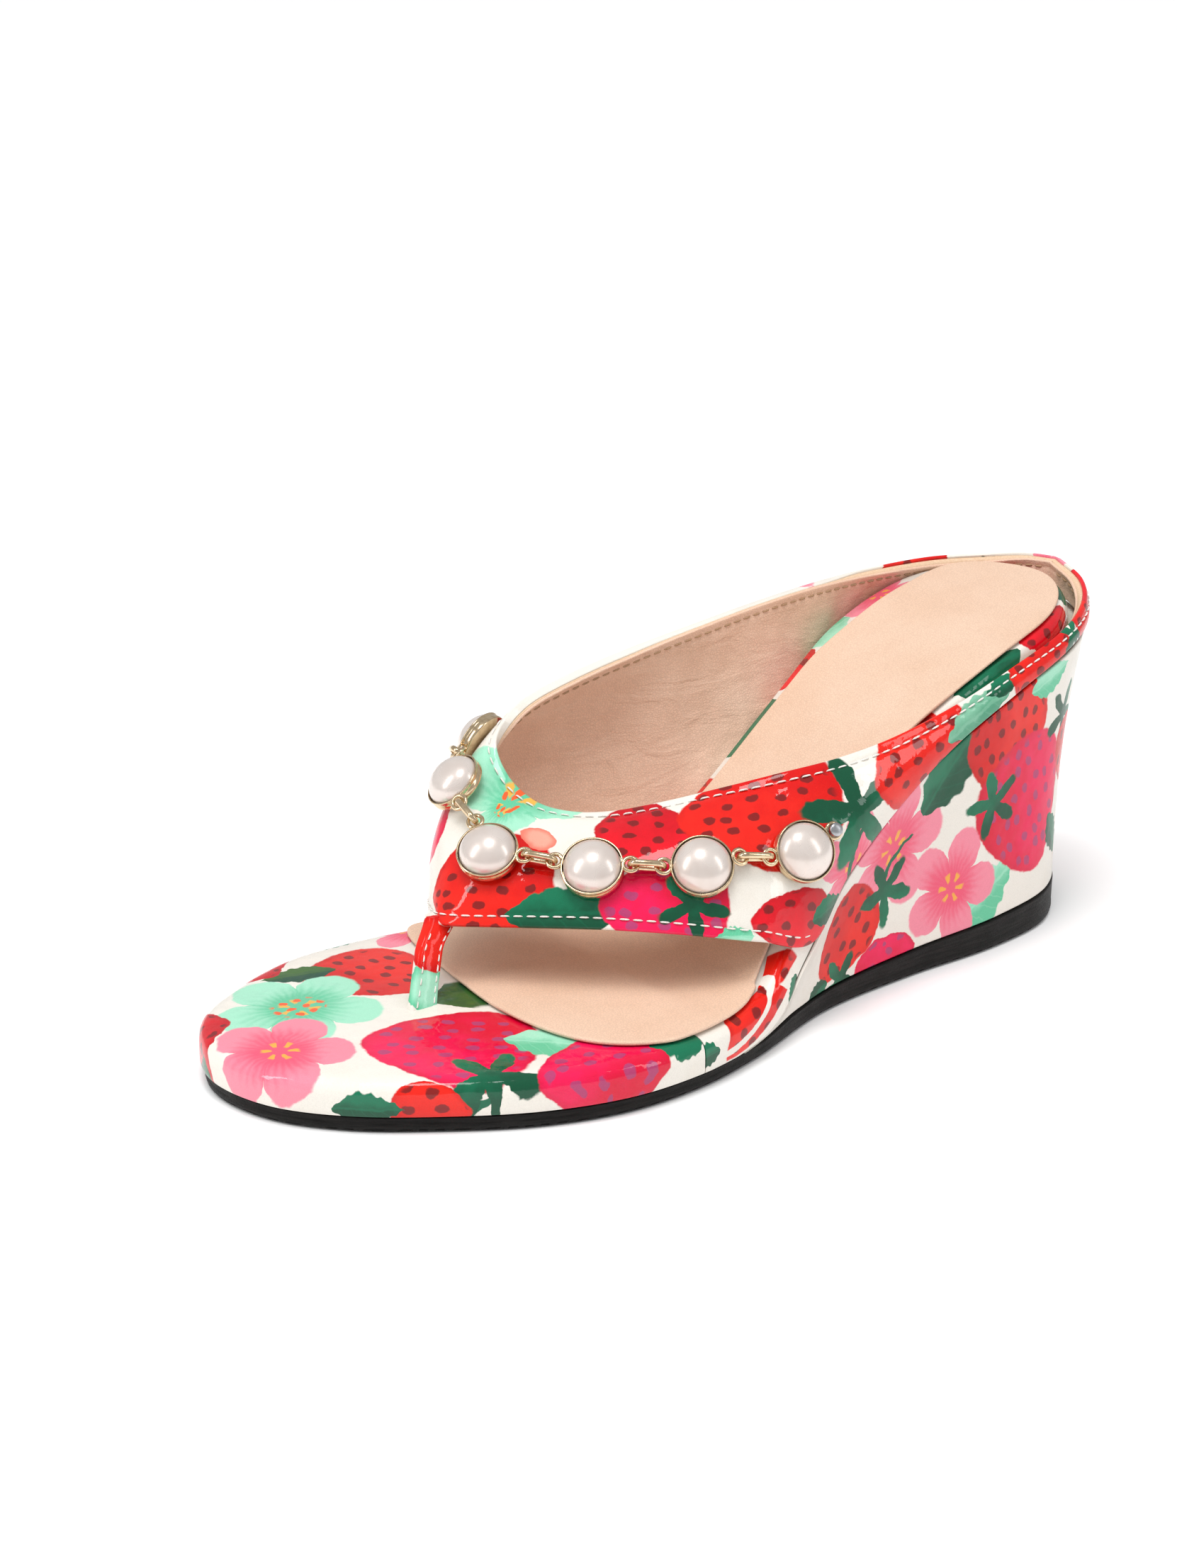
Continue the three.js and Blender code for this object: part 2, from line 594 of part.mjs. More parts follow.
piece('shank', cut(shankBody, rivetHoles), steel);
SHANK_RIVET_XS.forEach((x, i) => piece(`shank_rivet_${i + 1}`, rivetAt(x, 0), steel));
HEEL_NAILS.forEach((place, i) => piece(`heel_nail_${i + 1}`, nailAt(place, 0), steel));
piece('wedge_core', cut(wedgeBody, [shankGroove, ...rivetHoles, ...nailHoles]), eva);

// ---------------------------------------------------------------- toe post

const TAB_FOOT = 3.4; // lowest face of the webbing's tab, in its pocket in the outsole
const TAB_LENGTH = 18;
const TAB_WIDTH = 12;
const TAB_THICKNESS = 1;
const CORE_WIDTH = 4.6;
const CORE_THICKNESS = 0.8;
const POST_TOP = V(183, -7, 26.4);
const POST_FOOT = V(POST_X, POST_Y, 5.9);

// A straight bar of rectangular section along the post, between two shares of its length.
function postBar(width, thickness, from = 0, to = 1) {
  const corners = [[-1, -1], [1, -1], [1, 1], [-1, 1]];
  const rings = [from, to].map((share) => {
    const middle = POST_FOOT.clone().lerp(POST_TOP, share);
    return corners.map(([a, b]) => middle.clone().add(V((a * width) / 2, (b * thickness) / 2, 0)));
  });
  return loft(rings);
}

const strapHollow = postBar(CORE_WIDTH + 2 * GAP, CORE_THICKNESS + 2 * GAP, -0.2, 1.2);
piece('toe_post_strap', cut(postBar(POST_WIDTH, POST_THICKNESS), [strapHollow]), print);
const postSlot = postBar(POST_WIDTH + 2 * GAP, POST_THICKNESS + 2 * GAP, -0.2, 0.8);

const tabAt = (gap) =>
  box(TAB_LENGTH + 2 * gap, TAB_WIDTH + 2 * gap, TAB_THICKNESS + 2 * gap).translate(
    POST_X, POST_Y, TAB_FOOT + TAB_THICKNESS / 2,
  );
const coreStrip = postBar(CORE_WIDTH, CORE_THICKNESS, -0.12, 0.97);
piece('toe_post_core', join(coreStrip, [tabAt(0)]), webbing);

const tabHead = box(TAB_LENGTH + 2 * GAP, TAB_WIDTH + 2 * GAP, 2).translate(POST_X, POST_Y, 5.2);
const pocket = join(tabAt(GAP), [tabHead]);
piece('outsole', cut(outsoleBody, [pocket]), rubber);
piece('insole_board', cut(boardBody, [...rivetHoles, ...nailHoles, postSlot]), fibreboard);
piece('footbed_foam', cut(foamBody, [postSlot]), foam);
piece('toe_cover', cut(toeCoverBody, [postSlot]), print);

rand('rand_outer', edgeShare(TOE_COVER_BACK - GAP, true), edgeShare(RAND_FRONT_OUTER, true));
rand('rand_inner', edgeShare(RAND_FRONT_INNER, false), edgeShare(TOE_COVER_BACK - GAP, false));

// ---------------------------------------------------------------- pearls, cups and links

const CUP_LIFT = 0.7; // cup's floor above the leather at its middle
const EYELET_HEIGHT = 1.9; // eyelet's middle above the cup's floor
const EYELET_REACH = CUP_RADIUS + EYELET_HOLE + WIRE - 0.2;
const EYELET_STEPS = 10;
const ROUND_STEPS = 16; // sides of cups and pearls
const STUD_RADIUS = 1;
const STUD_DEPTH = 1.6;
const CUP_PROFILE = [
  [0, -STUD_DEPTH], [STUD_RADIUS, -STUD_DEPTH], [STUD_RADIUS, 0], [CUP_RADIUS - 0.5, 0], [CUP_RADIUS, 0.6],
  [CUP_RADIUS, 2.5], [CUP_RADIUS - 0.3, 2.8], [PEARL_RADIUS + GAP, 2.4], [PEARL_RADIUS + GAP, 0.8], [0, 0.8],
];
const PEARL_RISE = 5.2;
const pearlProfile = [[0, 1.1], ...shares(0, Math.PI / 2, 6).map((angle) => [
  angle > 1.57 ? 0 : PEARL_RADIUS * Math.cos(angle), 1.1 + (angle === 0 ? 0.3 : 0) + PEARL_RISE * Math.sin(angle),
])];

// The seat of each cup: its middle on the leather, its own up, and its two eyelets' directions.
const seats = PEARL_PLACES.map(([row, up]) => ({ middle: upperAt(row, up, 0), up: upperNormal(row, up) }));
const CHAIN_END_ROW = [PEARL_PLACES[0][0] - 0.8, PEARL_PLACES.at(-1)[0] + 0.8];
const chainEnds = CHAIN_END_ROW.map((row, i) => upperFace(row, PEARL_PLACES.at(-i)[1]));

function flatDirection(seat, target) {
  const direction = target.clone().sub(seat.middle);
  return direction.addScaledVector(seat.up, -direction.dot(seat.up)).normalize();
}

seats.forEach((seat, k) => {
  const before = k === 0 ? chainEnds[0] : seats[k - 1].middle;
  const after = k === seats.length - 1 ? chainEnds[1] : seats[k + 1].middle;
  seat.directions = [flatDirection(seat, before), flatDirection(seat, after)];
  seat.eyelets = seat.directions.map((direction) =>
    seat.middle
      .clone()
      .addScaledVector(direction, EYELET_REACH)
      .addScaledVector(seat.up, CUP_LIFT + EYELET_HEIGHT),
  );
});

function standOn(geometry, seat, height) {
  const turn = new THREE.Quaternion().setFromUnitVectors(V(0, 0, 1), seat.up);
  const foot = seat.middle.clone().addScaledVector(seat.up, height);
  return geometry.applyQuaternion(turn).translate(foot.x, foot.y, foot.z);
}

// An eyelet is a ring over the leather beside its cup, in line with the link that it holds.
function eyelet(seat, side) {
  const across = seat.lineOut[side];
  const along = seat.up.clone().cross(across).normalize();
  const ring = Array.from({ length: EYELET_STEPS }, (_, i) => {
    const angle = (2 * Math.PI * i) / EYELET_STEPS;
    return seat.eyelets[side]
      .clone()
      .addScaledVector(across, (EYELET_HOLE + WIRE) * Math.cos(angle))
      .addScaledVector(along, (EYELET_HOLE + WIRE) * Math.sin(angle));
  });
  return wireLoop(ring, across.clone().cross(along), WIRE);
}

seats.forEach((seat, k) => {
  const partners = [seats[k - 1]?.eyelets[1], seats[k + 1]?.eyelets[0]];
  seat.lineOut = partners.map((partner, side) =>
    partner ? partner.clone().sub(seat.eyelets[side]).normalize() : seat.directions[side],
  );
});

const studHoles = [];
seats.forEach((seat, k) => {
  const cup = standOn(turned(CUP_PROFILE, ROUND_STEPS), seat, CUP_LIFT);
  piece(`cup_${k + 1}`, join(cup, [eyelet(seat, 0), eyelet(seat, 1)]), gold);
  piece(`pearl_${k + 1}`, standOn(turned(pearlProfile, ROUND_STEPS), seat, CUP_LIFT), pearl);
  const hole = turned([[0, -3], [STUD_RADIUS + GAP, -3], [STUD_RADIUS + GAP, 3], [0, 3]], 8);
  studHoles.push(standOn(hole, seat, 0));
});

// A link is an upright oval through two eyelets. It rolls about the line between their middles.
for (let k = 0; k < seats.length - 1; k += 1) {
  const start = seats[k].eyelets[1];
  const end = seats[k + 1].eyelets[0];
  const axis = end.clone().sub(start).normalize();
  const up = seats[k].up.clone().add(seats[k + 1].up);
  up.addScaledVector(axis, -up.dot(axis)).normalize();
  const path = [];
  for (let i = 0; i <= 4; i += 1) {
    const angle = -Math.PI / 2 + (Math.PI * i) / 4;
    const [out, rise] = [LINK_HALF_HEIGHT * Math.cos(angle), LINK_HALF_HEIGHT * Math.sin(angle)];
    path.push(end.clone().addScaledVector(axis, out - LINK_HALF_HEIGHT).addScaledVector(up, rise));
  }
  for (let i = 0; i <= 4; i += 1) {
    const angle = Math.PI / 2 + (Math.PI * i) / 4;
    const [out, rise] = [LINK_HALF_HEIGHT * Math.cos(angle), LINK_HALF_HEIGHT * Math.sin(angle)];
    path.push(start.clone().addScaledVector(axis, out + LINK_HALF_HEIGHT).addScaledVector(up, rise));
  }
  const side = axis.clone().cross(up);
  piece(`link_${k + 1}`, wireLoop(path, side, WIRE), gold);
}

// The chain's end eyelets are held down by rivets through them into the upper.
const RIVET_HEAD = EYELET_HEIGHT + CUP_LIFT + WIRE + 2 * GAP;
const endRivetProfile = [
  [0, -STUD_DEPTH], [0.9, -STUD_DEPTH], [0.9, RIVET_HEAD], [2.1, RIVET_HEAD], [1.9, RIVET_HEAD + 0.7],
  [1.2, RIVET_HEAD + 1.3], [0, RIVET_HEAD + 1.5],
];
[[0, 0], [seats.length - 1, 1]].forEach(([k, side], i) => {
  const eye = seats[k].eyelets[side].clone().addScaledVector(seats[k].up, -CUP_LIFT - EYELET_HEIGHT);
  const seat = { middle: eye, up: seats[k].up };
  piece(`end_rivet_${i + 1}`, standOn(turned(endRivetProfile, 16), seat, 0), gold);
  const hole = turned([[0, -4], [0.9 + GAP, -4], [0.9 + GAP, 3], [0, 3]], 8);
  studHoles.push(standOn(hole, seat, 0));
});

piece('upper_shell', cut(upperBody, studHoles), print);

// ---------------------------------------------------------------- origin at the base's middle

const bounds = new THREE.Box3().setFromObject(sandal);
const centre = bounds.getCenter(V(0, 0, 0));
sandal.position.set(-centre.x, -centre.y, -bounds.min.z);

export default sandal;
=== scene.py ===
import math

import bmesh
import bpy
import numpy as np
from mathutils import Matrix, Vector
from mathutils.bvhtree import BVHTree


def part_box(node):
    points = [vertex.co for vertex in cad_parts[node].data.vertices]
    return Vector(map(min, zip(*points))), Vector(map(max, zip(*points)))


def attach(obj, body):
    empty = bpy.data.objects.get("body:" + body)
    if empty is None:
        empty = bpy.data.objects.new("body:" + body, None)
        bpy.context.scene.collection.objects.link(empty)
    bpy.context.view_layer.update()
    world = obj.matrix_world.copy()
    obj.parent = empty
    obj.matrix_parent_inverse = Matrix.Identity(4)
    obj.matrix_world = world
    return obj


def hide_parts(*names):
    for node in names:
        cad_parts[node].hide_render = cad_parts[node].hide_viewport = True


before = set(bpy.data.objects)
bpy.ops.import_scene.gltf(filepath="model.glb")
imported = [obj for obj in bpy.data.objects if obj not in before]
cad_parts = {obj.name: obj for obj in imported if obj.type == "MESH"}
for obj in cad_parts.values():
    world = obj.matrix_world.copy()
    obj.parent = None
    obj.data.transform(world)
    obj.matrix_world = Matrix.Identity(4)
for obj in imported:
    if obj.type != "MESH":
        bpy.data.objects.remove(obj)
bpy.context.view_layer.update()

# Shapes are worked out in millimetres in the sandal's design frame: zero at the back of the
# outsole on the ground, +X to the toe, +Y to the outer side. emit() moves them into the frame.

# ------------------------------------------------------------------ dimensions, as in the frame

GAP = 0.3
OUTSOLE_TOE, OUTSOLE_HEEL, OUTSOLE_TAPER_END = 5.0, 9.5, 110.0
COVER, FOAM_TOP, SOCK = 1.0, 6.9, 1.0
TOE_TOP, TOE_CROWN, TOE_COVER_BACK = 6.9, 1.0, 150.0
UPPER, COUNTER, LINING = 1.1, 0.8, 0.8
LINING_DEPTH = UPPER + COUNTER + 2 * GAP
COUNTER_ROW = 4.2  # the counter reaches this many rows from the back seam
WALL_INSET = LINING_DEPTH + LINING + GAP + 0.6
WALL_LEAN = 1.4
RAND_FRONT = 114.0
WEDGE_FRONT, WEDGE_HOLLOW = 121.0, 1.6
WEDGE_REACH = 136.0  # the cover's tongue runs on under the rand to here
WRAP_INSET = COVER + GAP
STITCH_IN = 2.3  # stitches from the edge
CUP_RADIUS, PEARL_RADIUS, PEARL_RISE = 7.2, 6.62, 5.2
EYELET_HOLE, WIRE, LINK_HALF_HEIGHT = 1.4, 0.5, 1.6
CUP_LIFT, EYELET_HEIGHT = 0.7, 1.9
EYELET_RISE = CUP_LIFT + EYELET_HEIGHT
EYELET_REACH = CUP_RADIUS + EYELET_HOLE + WIRE - 0.2
RIVET_HEAD = EYELET_RISE + WIRE + 2 * GAP
POST_FOOT, POST_TOP = np.array((195.0, 4.6, 5.9)), np.array((183.0, -7.0, 26.4))

OUTSOLE_EDGE = [
    (238, -5), (234, 8.5), (224, 21.5), (210, 32.5), (190, 44.5), (170, 50.5), (150, 50.5), (130, 46),
    (100, 35.5), (70, 32), (40, 31), (18, 26), (5, 14.5), (0, 0.5),
    (5, -18), (18, -28), (45, -27.5), (75, -21.5), (100, -21.4), (125, -30.2), (150, -39), (175, -44),
    (198, -44), (217, -37), (230, -28), (237, -16),
]
FOOTBED_EDGE = [
    (239, -5), (235, 9), (225, 22), (210.5, 33.5), (190, 45.5), (170, 51.5), (150, 51.5), (130, 47.5),
    (99, 38.5), (70, 35.5), (39, 34.5), (15, 29), (0, 16), (-5.5, 1),
    (0.5, -20), (15, -31), (45, -30), (75, -21.5), (100, -20.6), (125.5, -29.8), (149.5, -39.5),
    (175.5, -45), (198, -45), (217, -38), (231, -28.5), (238, -16),
]
WEDGE_LINE = [
    (-14, 77.6), (-2, 76.4), (30, 70.2), (65, 56.2), (95, 35.2), (112, 18.2), (125, 8), (140, 5.5),
    (152, 5.3), (260, 5.3),
]
# lower edge, top edge and bulge of the upper, from the back seam along the outer side
UPPER_ROWS = [
    ((-5.6, 1, 77), (-6.2, 1, 86.6), 0.8),
    ((-1.5, 14, 76.4), (-1.8, 13.5, 84.4), 0.8),
    ((7, 24, 75.6), (7, 22.5, 81.6), 0.9),
    ((22, 31.5, 72.7), (21, 28.8, 78), 1),
    ((42, 35, 66.8), (40, 32, 73.4), 1.2),
    ((62, 35.6, 57.9), (60, 33.2, 67.8), 1.6),
    ((80, 36.3, 46.6), (79, 32.6, 63.4), 2.4),
    ((97, 38.4, 34.4), (94, 29.8, 60.6), 4),
    ((110, 41.4, 22), (107, 24.5, 58.2), 6),
    ((126, 41.6, 26.2), (119, 16.8, 54.8), 6),
    ((141, 33.6, 29), (130, 9.6, 51.8), 5),
    ((156, 22.4, 30.4), (139, 2.8, 49.6), 4.5),
    ((170, 8.2, 29.8), (145, -5, 48.6), 4.5),
    ((180, -3, 29), (149.5, -12.5, 50), 5),
    ((180.5, -11, 27.6), (152, -20, 55), 4.6),
    ((174, -20.5, 26.2), (150, -27.2, 61.5), 5.6),
    ((161, -28.5, 24.6), (141, -31, 67.4), 7),
    ((143, -33, 23.4), (126, -32, 71.4), 7),
    ((123, -30.4, 23), (107, -31.6, 75), 6),
    ((106, -23, 25.2), (90, -30.4, 77.8), 4),
    ((84, -20.6, 43.8), (70, -29.6, 80.6), 2.8),
    ((62, -25.2, 57.9), (50, -29.6, 82.4), 1.8),
    ((38, -31.4, 68), (31, -29.6, 83.2), 1.2),
    ((16, -31.4, 73.8), (14, -26.4, 84), 1),
    ((3, -22.6, 76), (3, -18.8, 84.8), 0.9),
    ((-3.6, -10, 76.8), (-4, -9, 86), 0.8),
    ((-5.6, 0.6, 77), (-6.2, 0.6, 86.6), 0.8),
]
LAST_ROW = len(UPPER_ROWS) - 1
PEARL_PLACES = [
    (8.1, 0.52), (9.64, 0.41), (11.15, 0.39), (12.92, 0.45),
    (14.76, 0.7), (16.1, 0.73), (17.42, 0.66), (18.75, 0.63),
]
SOCK_FRONT = [
    (148, -60), (160, -45.5), (167.5, -41), (171.5, -33), (174.3, -20), (177, -5),
    (178.8, 10), (177.8, 24), (174, 36), (167, 44.5), (157, 50), (142, 60),
]

# ------------------------------------------------------------------ curves


def smooth(x, low, high):
    """0 below low, 1 above high, and a soft step between."""
    s = np.clip((np.asarray(x, float) - low) / (high - low), 0, 1)
    return s * s * (3 - 2 * s)


def bell(x, width):
    return np.exp(-((x / width) ** 2))


def unit(v):
    return v / np.maximum(np.linalg.norm(v, axis=-1, keepdims=True), 1e-12)


def round_angles(count):
    return np.linspace(0, 2 * np.pi, count, endpoint=False)


def through(nodes):
    """A smooth function through (x, y) nodes that never overshoots them."""
    xs, ys = (np.array(c, float) for c in zip(*nodes))
    slope = np.diff(ys) / np.diff(xs)
    tangent = np.empty(len(xs))
    tangent[0], tangent[-1] = slope[0], slope[-1]
    a, b = slope[:-1], slope[1:]
    tangent[1:-1] = np.where(a * b <= 0, 0, 2 * a * b / np.where(a + b == 0, 1, a + b))

    def value(x):
        x = np.asarray(x, float)
        i = np.clip(np.searchsorted(xs, x, side="left") - 1, 0, len(xs) - 2)
        width = xs[i + 1] - xs[i]
        s = np.clip((x - xs[i]) / width, 0, 1)
        rise = ys[i] * (1 + 2 * s) * (1 - s) ** 2 + ys[i + 1] * s * s * (3 - 2 * s)
        return rise + width * (tangent[i] * s * (1 - s) ** 2 - tangent[i + 1] * s * s * (1 - s))

    return value


def cubic(p0, p1, t0, t1, w):
    """From p0 to p1 with tangents t0 and t1, w from 0 to 1."""
    w = w[..., None]
    back, on = 2 * w**3 - 3 * w**2 + 1, 3 * w**2 - 2 * w**3
    return back * p0 + (w**3 - 2 * w**2 + w) * t0 + on * p1 + (w**3 - w**2) * t1


def closed_curve(points):
    """A centripetal Catmull-Rom curve through points, t from 0 to 1 round it."""
    p = np.array(points, float)
    n = len(p)

    def at(t):
        t = (np.asarray(t, float) % 1) * n
        i = np.floor(t).astype(int) % n
        q = [p[(i + k) % n] for k in (-1, 0, 1, 2)]
        steps = [np.linalg.norm(b - a, axis=-1) for a, b in zip(q, q[1:])]
        d = [np.sqrt(np.maximum(step, 1e-6))[..., None] for step in steps]
        t0 = (q[1] - q[0]) / d[0] - (q[2] - q[0]) / (d[0] + d[1]) + (q[2] - q[1]) / d[1]
        t1 = (q[2] - q[1]) / d[1] - (q[3] - q[1]) / (d[1] + d[2]) + (q[3] - q[2]) / d[2]
        return cubic(q[1], q[2], t0 * d[1], t1 * d[1], t - np.floor(t))

    return at


def open_curve(points):
    """A uniform Catmull-Rom curve through points, u from 0 to 1 along it."""
    p = np.array(points, float)
    p = np.vstack([2 * p[0] - p[1], p, 2 * p[-1] - p[-2]])
    n = len(points) - 1

    def at(u):
        u = np.clip(np.asarray(u, float), 0, 1) * n
        i = np.minimum(np.floor(u).astype(int), n - 1)
        q = [p[i + k] for k in range(4)]
        return cubic(q[1], q[2], (q[2] - q[0]) / 2, (q[3] - q[1]) / 2, u - i)

    return at


wedge_line = through(WEDGE_LINE)
outsole_curve, footbed_curve = closed_curve(OUTSOLE_EDGE), closed_curve(FOOTBED_EDGE)
lower_edge, top_edge = (open_curve([r[k] for r in UPPER_ROWS]) for k in (0, 1))
bulge_at = through([(i, r[2]) for i, r in enumerate(UPPER_ROWS)])


def outsole_top(x):
    return OUTSOLE_TOE + (OUTSOLE_HEEL - OUTSOLE_TOE) * np.clip(1 - x / OUTSOLE_TAPER_END, 0, 1)


def lip_drop(x):
    """How far the wrapped covers reach down over the outsole's edge."""
    return 1.3 * smooth(x, 112, 130)


def inward(curve, t):
    tangent = unit(curve(t + 1e-4) - curve(t - 1e-4))
    return np.stack([-tangent[..., 1], tangent[..., 0]], -1)


def plan_point(curve, t, inset):
    return curve(t) + inward(curve, t) * np.asarray(inset, float)[..., None]


def edge_share(x, outer_side):
    """Where on the footbed's edge x is, on either side."""
    low, high = (0.0, 0.5) if outer_side else (0.5, 1.0)
    for _ in range(40):
        middle = (low + high) / 2
        if (footbed_curve(middle)[0] > x) == outer_side:
            low = middle
        else:
            high = middle
    return (low + high) / 2


def over_wedge(p, height):
    """The points at a height above the wedge line over plan points, measured square to it."""
    x, y = p[..., 0], p[..., 1]
    slope = wedge_line(x + 0.5) - wedge_line(x - 0.5)
    size = np.sqrt(1 + slope**2)
    return np.stack([x - slope / size * height, y, wedge_line(x) + height / size], -1)


def spine_point(x):
    """The middle line of the footbed in plan."""
    y = np.interp(x, [0, 40, 75, 100, 150, 200, 214], [0, 2, 4, 6, 5, -2, -5])
    return np.stack([x, y], -1)


def distance_along(path):
    return np.concatenate([[0], np.cumsum(np.linalg.norm(np.diff(path, axis=0), axis=1))])


def spread(shares, curve):
    """Re-spaces curve parameters so that the points on the curve lie evenly."""
    fine = np.linspace(shares[0], shares[-1], 4000)
    run = distance_along(curve(fine))
    return np.interp(np.linspace(0, run[-1], len(shares)), run, fine)


def upper_face(row, up):
    """The outer face of the upper: row counts along UPPER_ROWS, up runs from 0 to 1."""
    row, up = np.broadcast_arrays(np.asarray(row, float), np.asarray(up, float))
    u, e = np.clip(row / LAST_ROW, 0, 1), 1e-4
    low, high = lower_edge(u), top_edge(u)
    along = unit(lower_edge(u + e) - lower_edge(u - e)) + unit(top_edge(u + e) - top_edge(u - e))
    outward = unit(np.cross(high - low, unit(along)))
    bulge = (4 * bulge_at(row) * up * (1 - up))[..., None]
    return low + (high - low) * up[..., None] + outward * bulge


def upper_normal(row, up):
    row, up = np.broadcast_arrays(np.asarray(row, float), np.asarray(up, float))
    step = 0.02
    along = upper_face(np.minimum(row + step, LAST_ROW), up) - upper_face(np.maximum(row - step, 0), up)
    rise = upper_face(row, np.minimum(up + step, 1)) - upper_face(row, np.maximum(up - step, 0))
    return unit(np.cross(rise, along))


def upper_at(row, up, depth):
    return upper_face(row, up) - upper_normal(row, up) * np.asarray(depth, float)[..., None]


def wall_height(row):
    return np.linalg.norm(upper_face(row, 1.0) - upper_face(row, 0.0), axis=-1)


def even_rows(count):
    return spread(np.linspace(LAST_ROW, 0, count), lambda row: upper_face(row, 0.6))


def waves(p, size, seed):
    """Smooth pseudo-random waves over points, about -1 to 1, features about size mm wide."""
    rng = np.random.default_rng(seed)
    total = np.zeros(p.shape[:-1])
    for _ in range(7):
        direction = unit(rng.normal(size=3)) * (2 * np.pi / size) * rng.uniform(0.6, 1.5)
        total = total + np.sin(p @ direction + rng.uniform(0, 2 * np.pi))
    return total / 4


# ------------------------------------------------------------------ meshes

ring_ts = np.linspace(0, 1, 720, endpoint=False)
drawn = outsole_curve(ring_ts)
cad_low, cad_high = (np.array(corner) * 1000 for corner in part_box("outsole"))
SHIFT = np.append((cad_low + cad_high)[:2] / 2 - (drawn.min(0) + drawn.max(0)) / 2, cad_low[2])


def emit(name, points, faces, material=None, angle=60):
    mesh = bpy.data.meshes.new(name)
    co = (np.asarray(points, float) + SHIFT) / 1000
    mesh.from_pydata(co.tolist(), [], [list(map(int, f)) for f in faces])
    mesh.validate()
    mesh.update()
    mesh.shade_smooth()
    mesh.set_sharp_from_angle(angle=math.radians(angle))
    if material:
        mesh.materials.append(material)
    piece = bpy.data.objects.new(name, mesh)
    bpy.context.scene.collection.objects.link(piece)
    return piece


def settle(piece, slot, *nodes, body="sandal"):
    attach(piece, body)
    if nodes:
        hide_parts(*nodes)


def weld(piece, distance):
    """Joins points that lie together and turns all faces out."""
    b = bmesh.new()
    b.from_mesh(piece.data)
    bmesh.ops.remove_doubles(b, verts=b.verts, dist=distance)
    bmesh.ops.recalc_face_normals(b, faces=b.faces)
    b.to_mesh(piece.data)
    b.free()
    piece.data.shade_smooth()
    piece.data.set_sharp_from_angle(angle=math.radians(60))


def between(a, b):
    """Faces between two rows, or two grids, of point numbers."""
    return np.stack([a[:-1], a[1:], b[1:], b[:-1]], -1).reshape(-1, 4)


def shell(outer, inner, wrap=False):
    """Points and faces of a sheet with thickness between two grids [column, row, xyz]."""
    g = np.arange(outer[..., 0].size).reshape(outer.shape[:2])
    h = g + g.size
    if wrap:
        g, h = (np.vstack([q, q[:1]]) for q in (g, h))
    sides = [between(g[:, :-1], g[:, 1:]), between(h[:, 1:], h[:, :-1])]
    sides += [between(h[:, 0], g[:, 0]), between(g[:, -1], h[:, -1])]
    if not wrap:
        sides += [between(g[0], h[0]), between(h[-1], g[-1])]
    return np.concatenate([outer.reshape(-1, 3), inner.reshape(-1, 3)]), np.concatenate(sides)


def loft(rings, closed=False):
    """Points and faces of a bar through equal rings [ring, point, xyz]. The two ends come last."""
    g = np.arange(rings[..., 0].size).reshape(rings.shape[:2])
    ends = [g[0, ::-1].tolist(), g[-1].tolist()]
    if closed:
        g, ends = np.vstack([g, g[:1]]), []
    g = np.hstack([g, g[:, :1]]).T
    return rings.reshape(-1, 3), between(g[:, :-1], g[:, 1:]).tolist() + ends


def plate(rings):
    """A loft whose ends are closed by faces from side to side."""
    points, faces = loft(rings)
    del faces[-2:]
    n, last = rings.shape[1], len(points) - rings.shape[1]
    for q in range(n // 2 - 1):
        a, b, c, d = q, n - 1 - q, n - 2 - q, q + 1
        faces += [[a, b, c, d], [last + a, last + d, last + c, last + b]]
    return points, faces


def merge(parts):
    points, faces, start = [], [], 0
    for p, f in parts:
        points.append(p)
        faces.extend([[v + start for v in face] for face in f])
        start += len(p)
    return np.concatenate(points), faces


def turned(profile, segments, seat):
    """A turned body from (radius, height) points, the first and last on the axis."""
    middle, up, side = seat
    a = round_angles(segments)[:, None]
    rim = np.cos(a) * side + np.sin(a) * np.cross(up, side)
    points, faces = loft(np.array([middle + up * z + rim * r for r, z in profile[1:-1]]))
    for loop, (_, z) in ((faces.pop(-2), profile[0]), (faces.pop(), profile[-1])):
        faces += [[a, b, len(points)] for a, b in zip(loop, loop[1:] + loop[:1])]
        points = np.vstack([points, middle + up * z])
    return points, faces


def arc(radius, height, start, end, count, x=0.0, z=0.0):
    """Profile points on an ellipse round (x, z), angles in degrees from +radius towards +height."""
    a = np.radians(np.linspace(start, end, count))
    return [(x + radius * math.cos(q), z + height * math.sin(q)) for q in a]


def wire(path, normal, radius, sides, flat):
    """A closed wire along a closed path in the plane of normal."""
    side = np.cross(unit(np.roll(path, -1, 0) - np.roll(path, 1, 0)), normal)
    a = round_angles(sides)[:, None]
    return loft(path[:, None] + radius * (np.cos(a) * side[:, None] - flat * np.sin(a) * normal), True)


def rim_rows(rim, count):
    """Distances from an edge, and depths under the face there, that round the edge off."""
    a = np.linspace(np.pi / 2, 0, count)
    return rim * (1 - np.sin(a)), rim * (1 - np.cos(a))


# ------------------------------------------------------------------ node trees


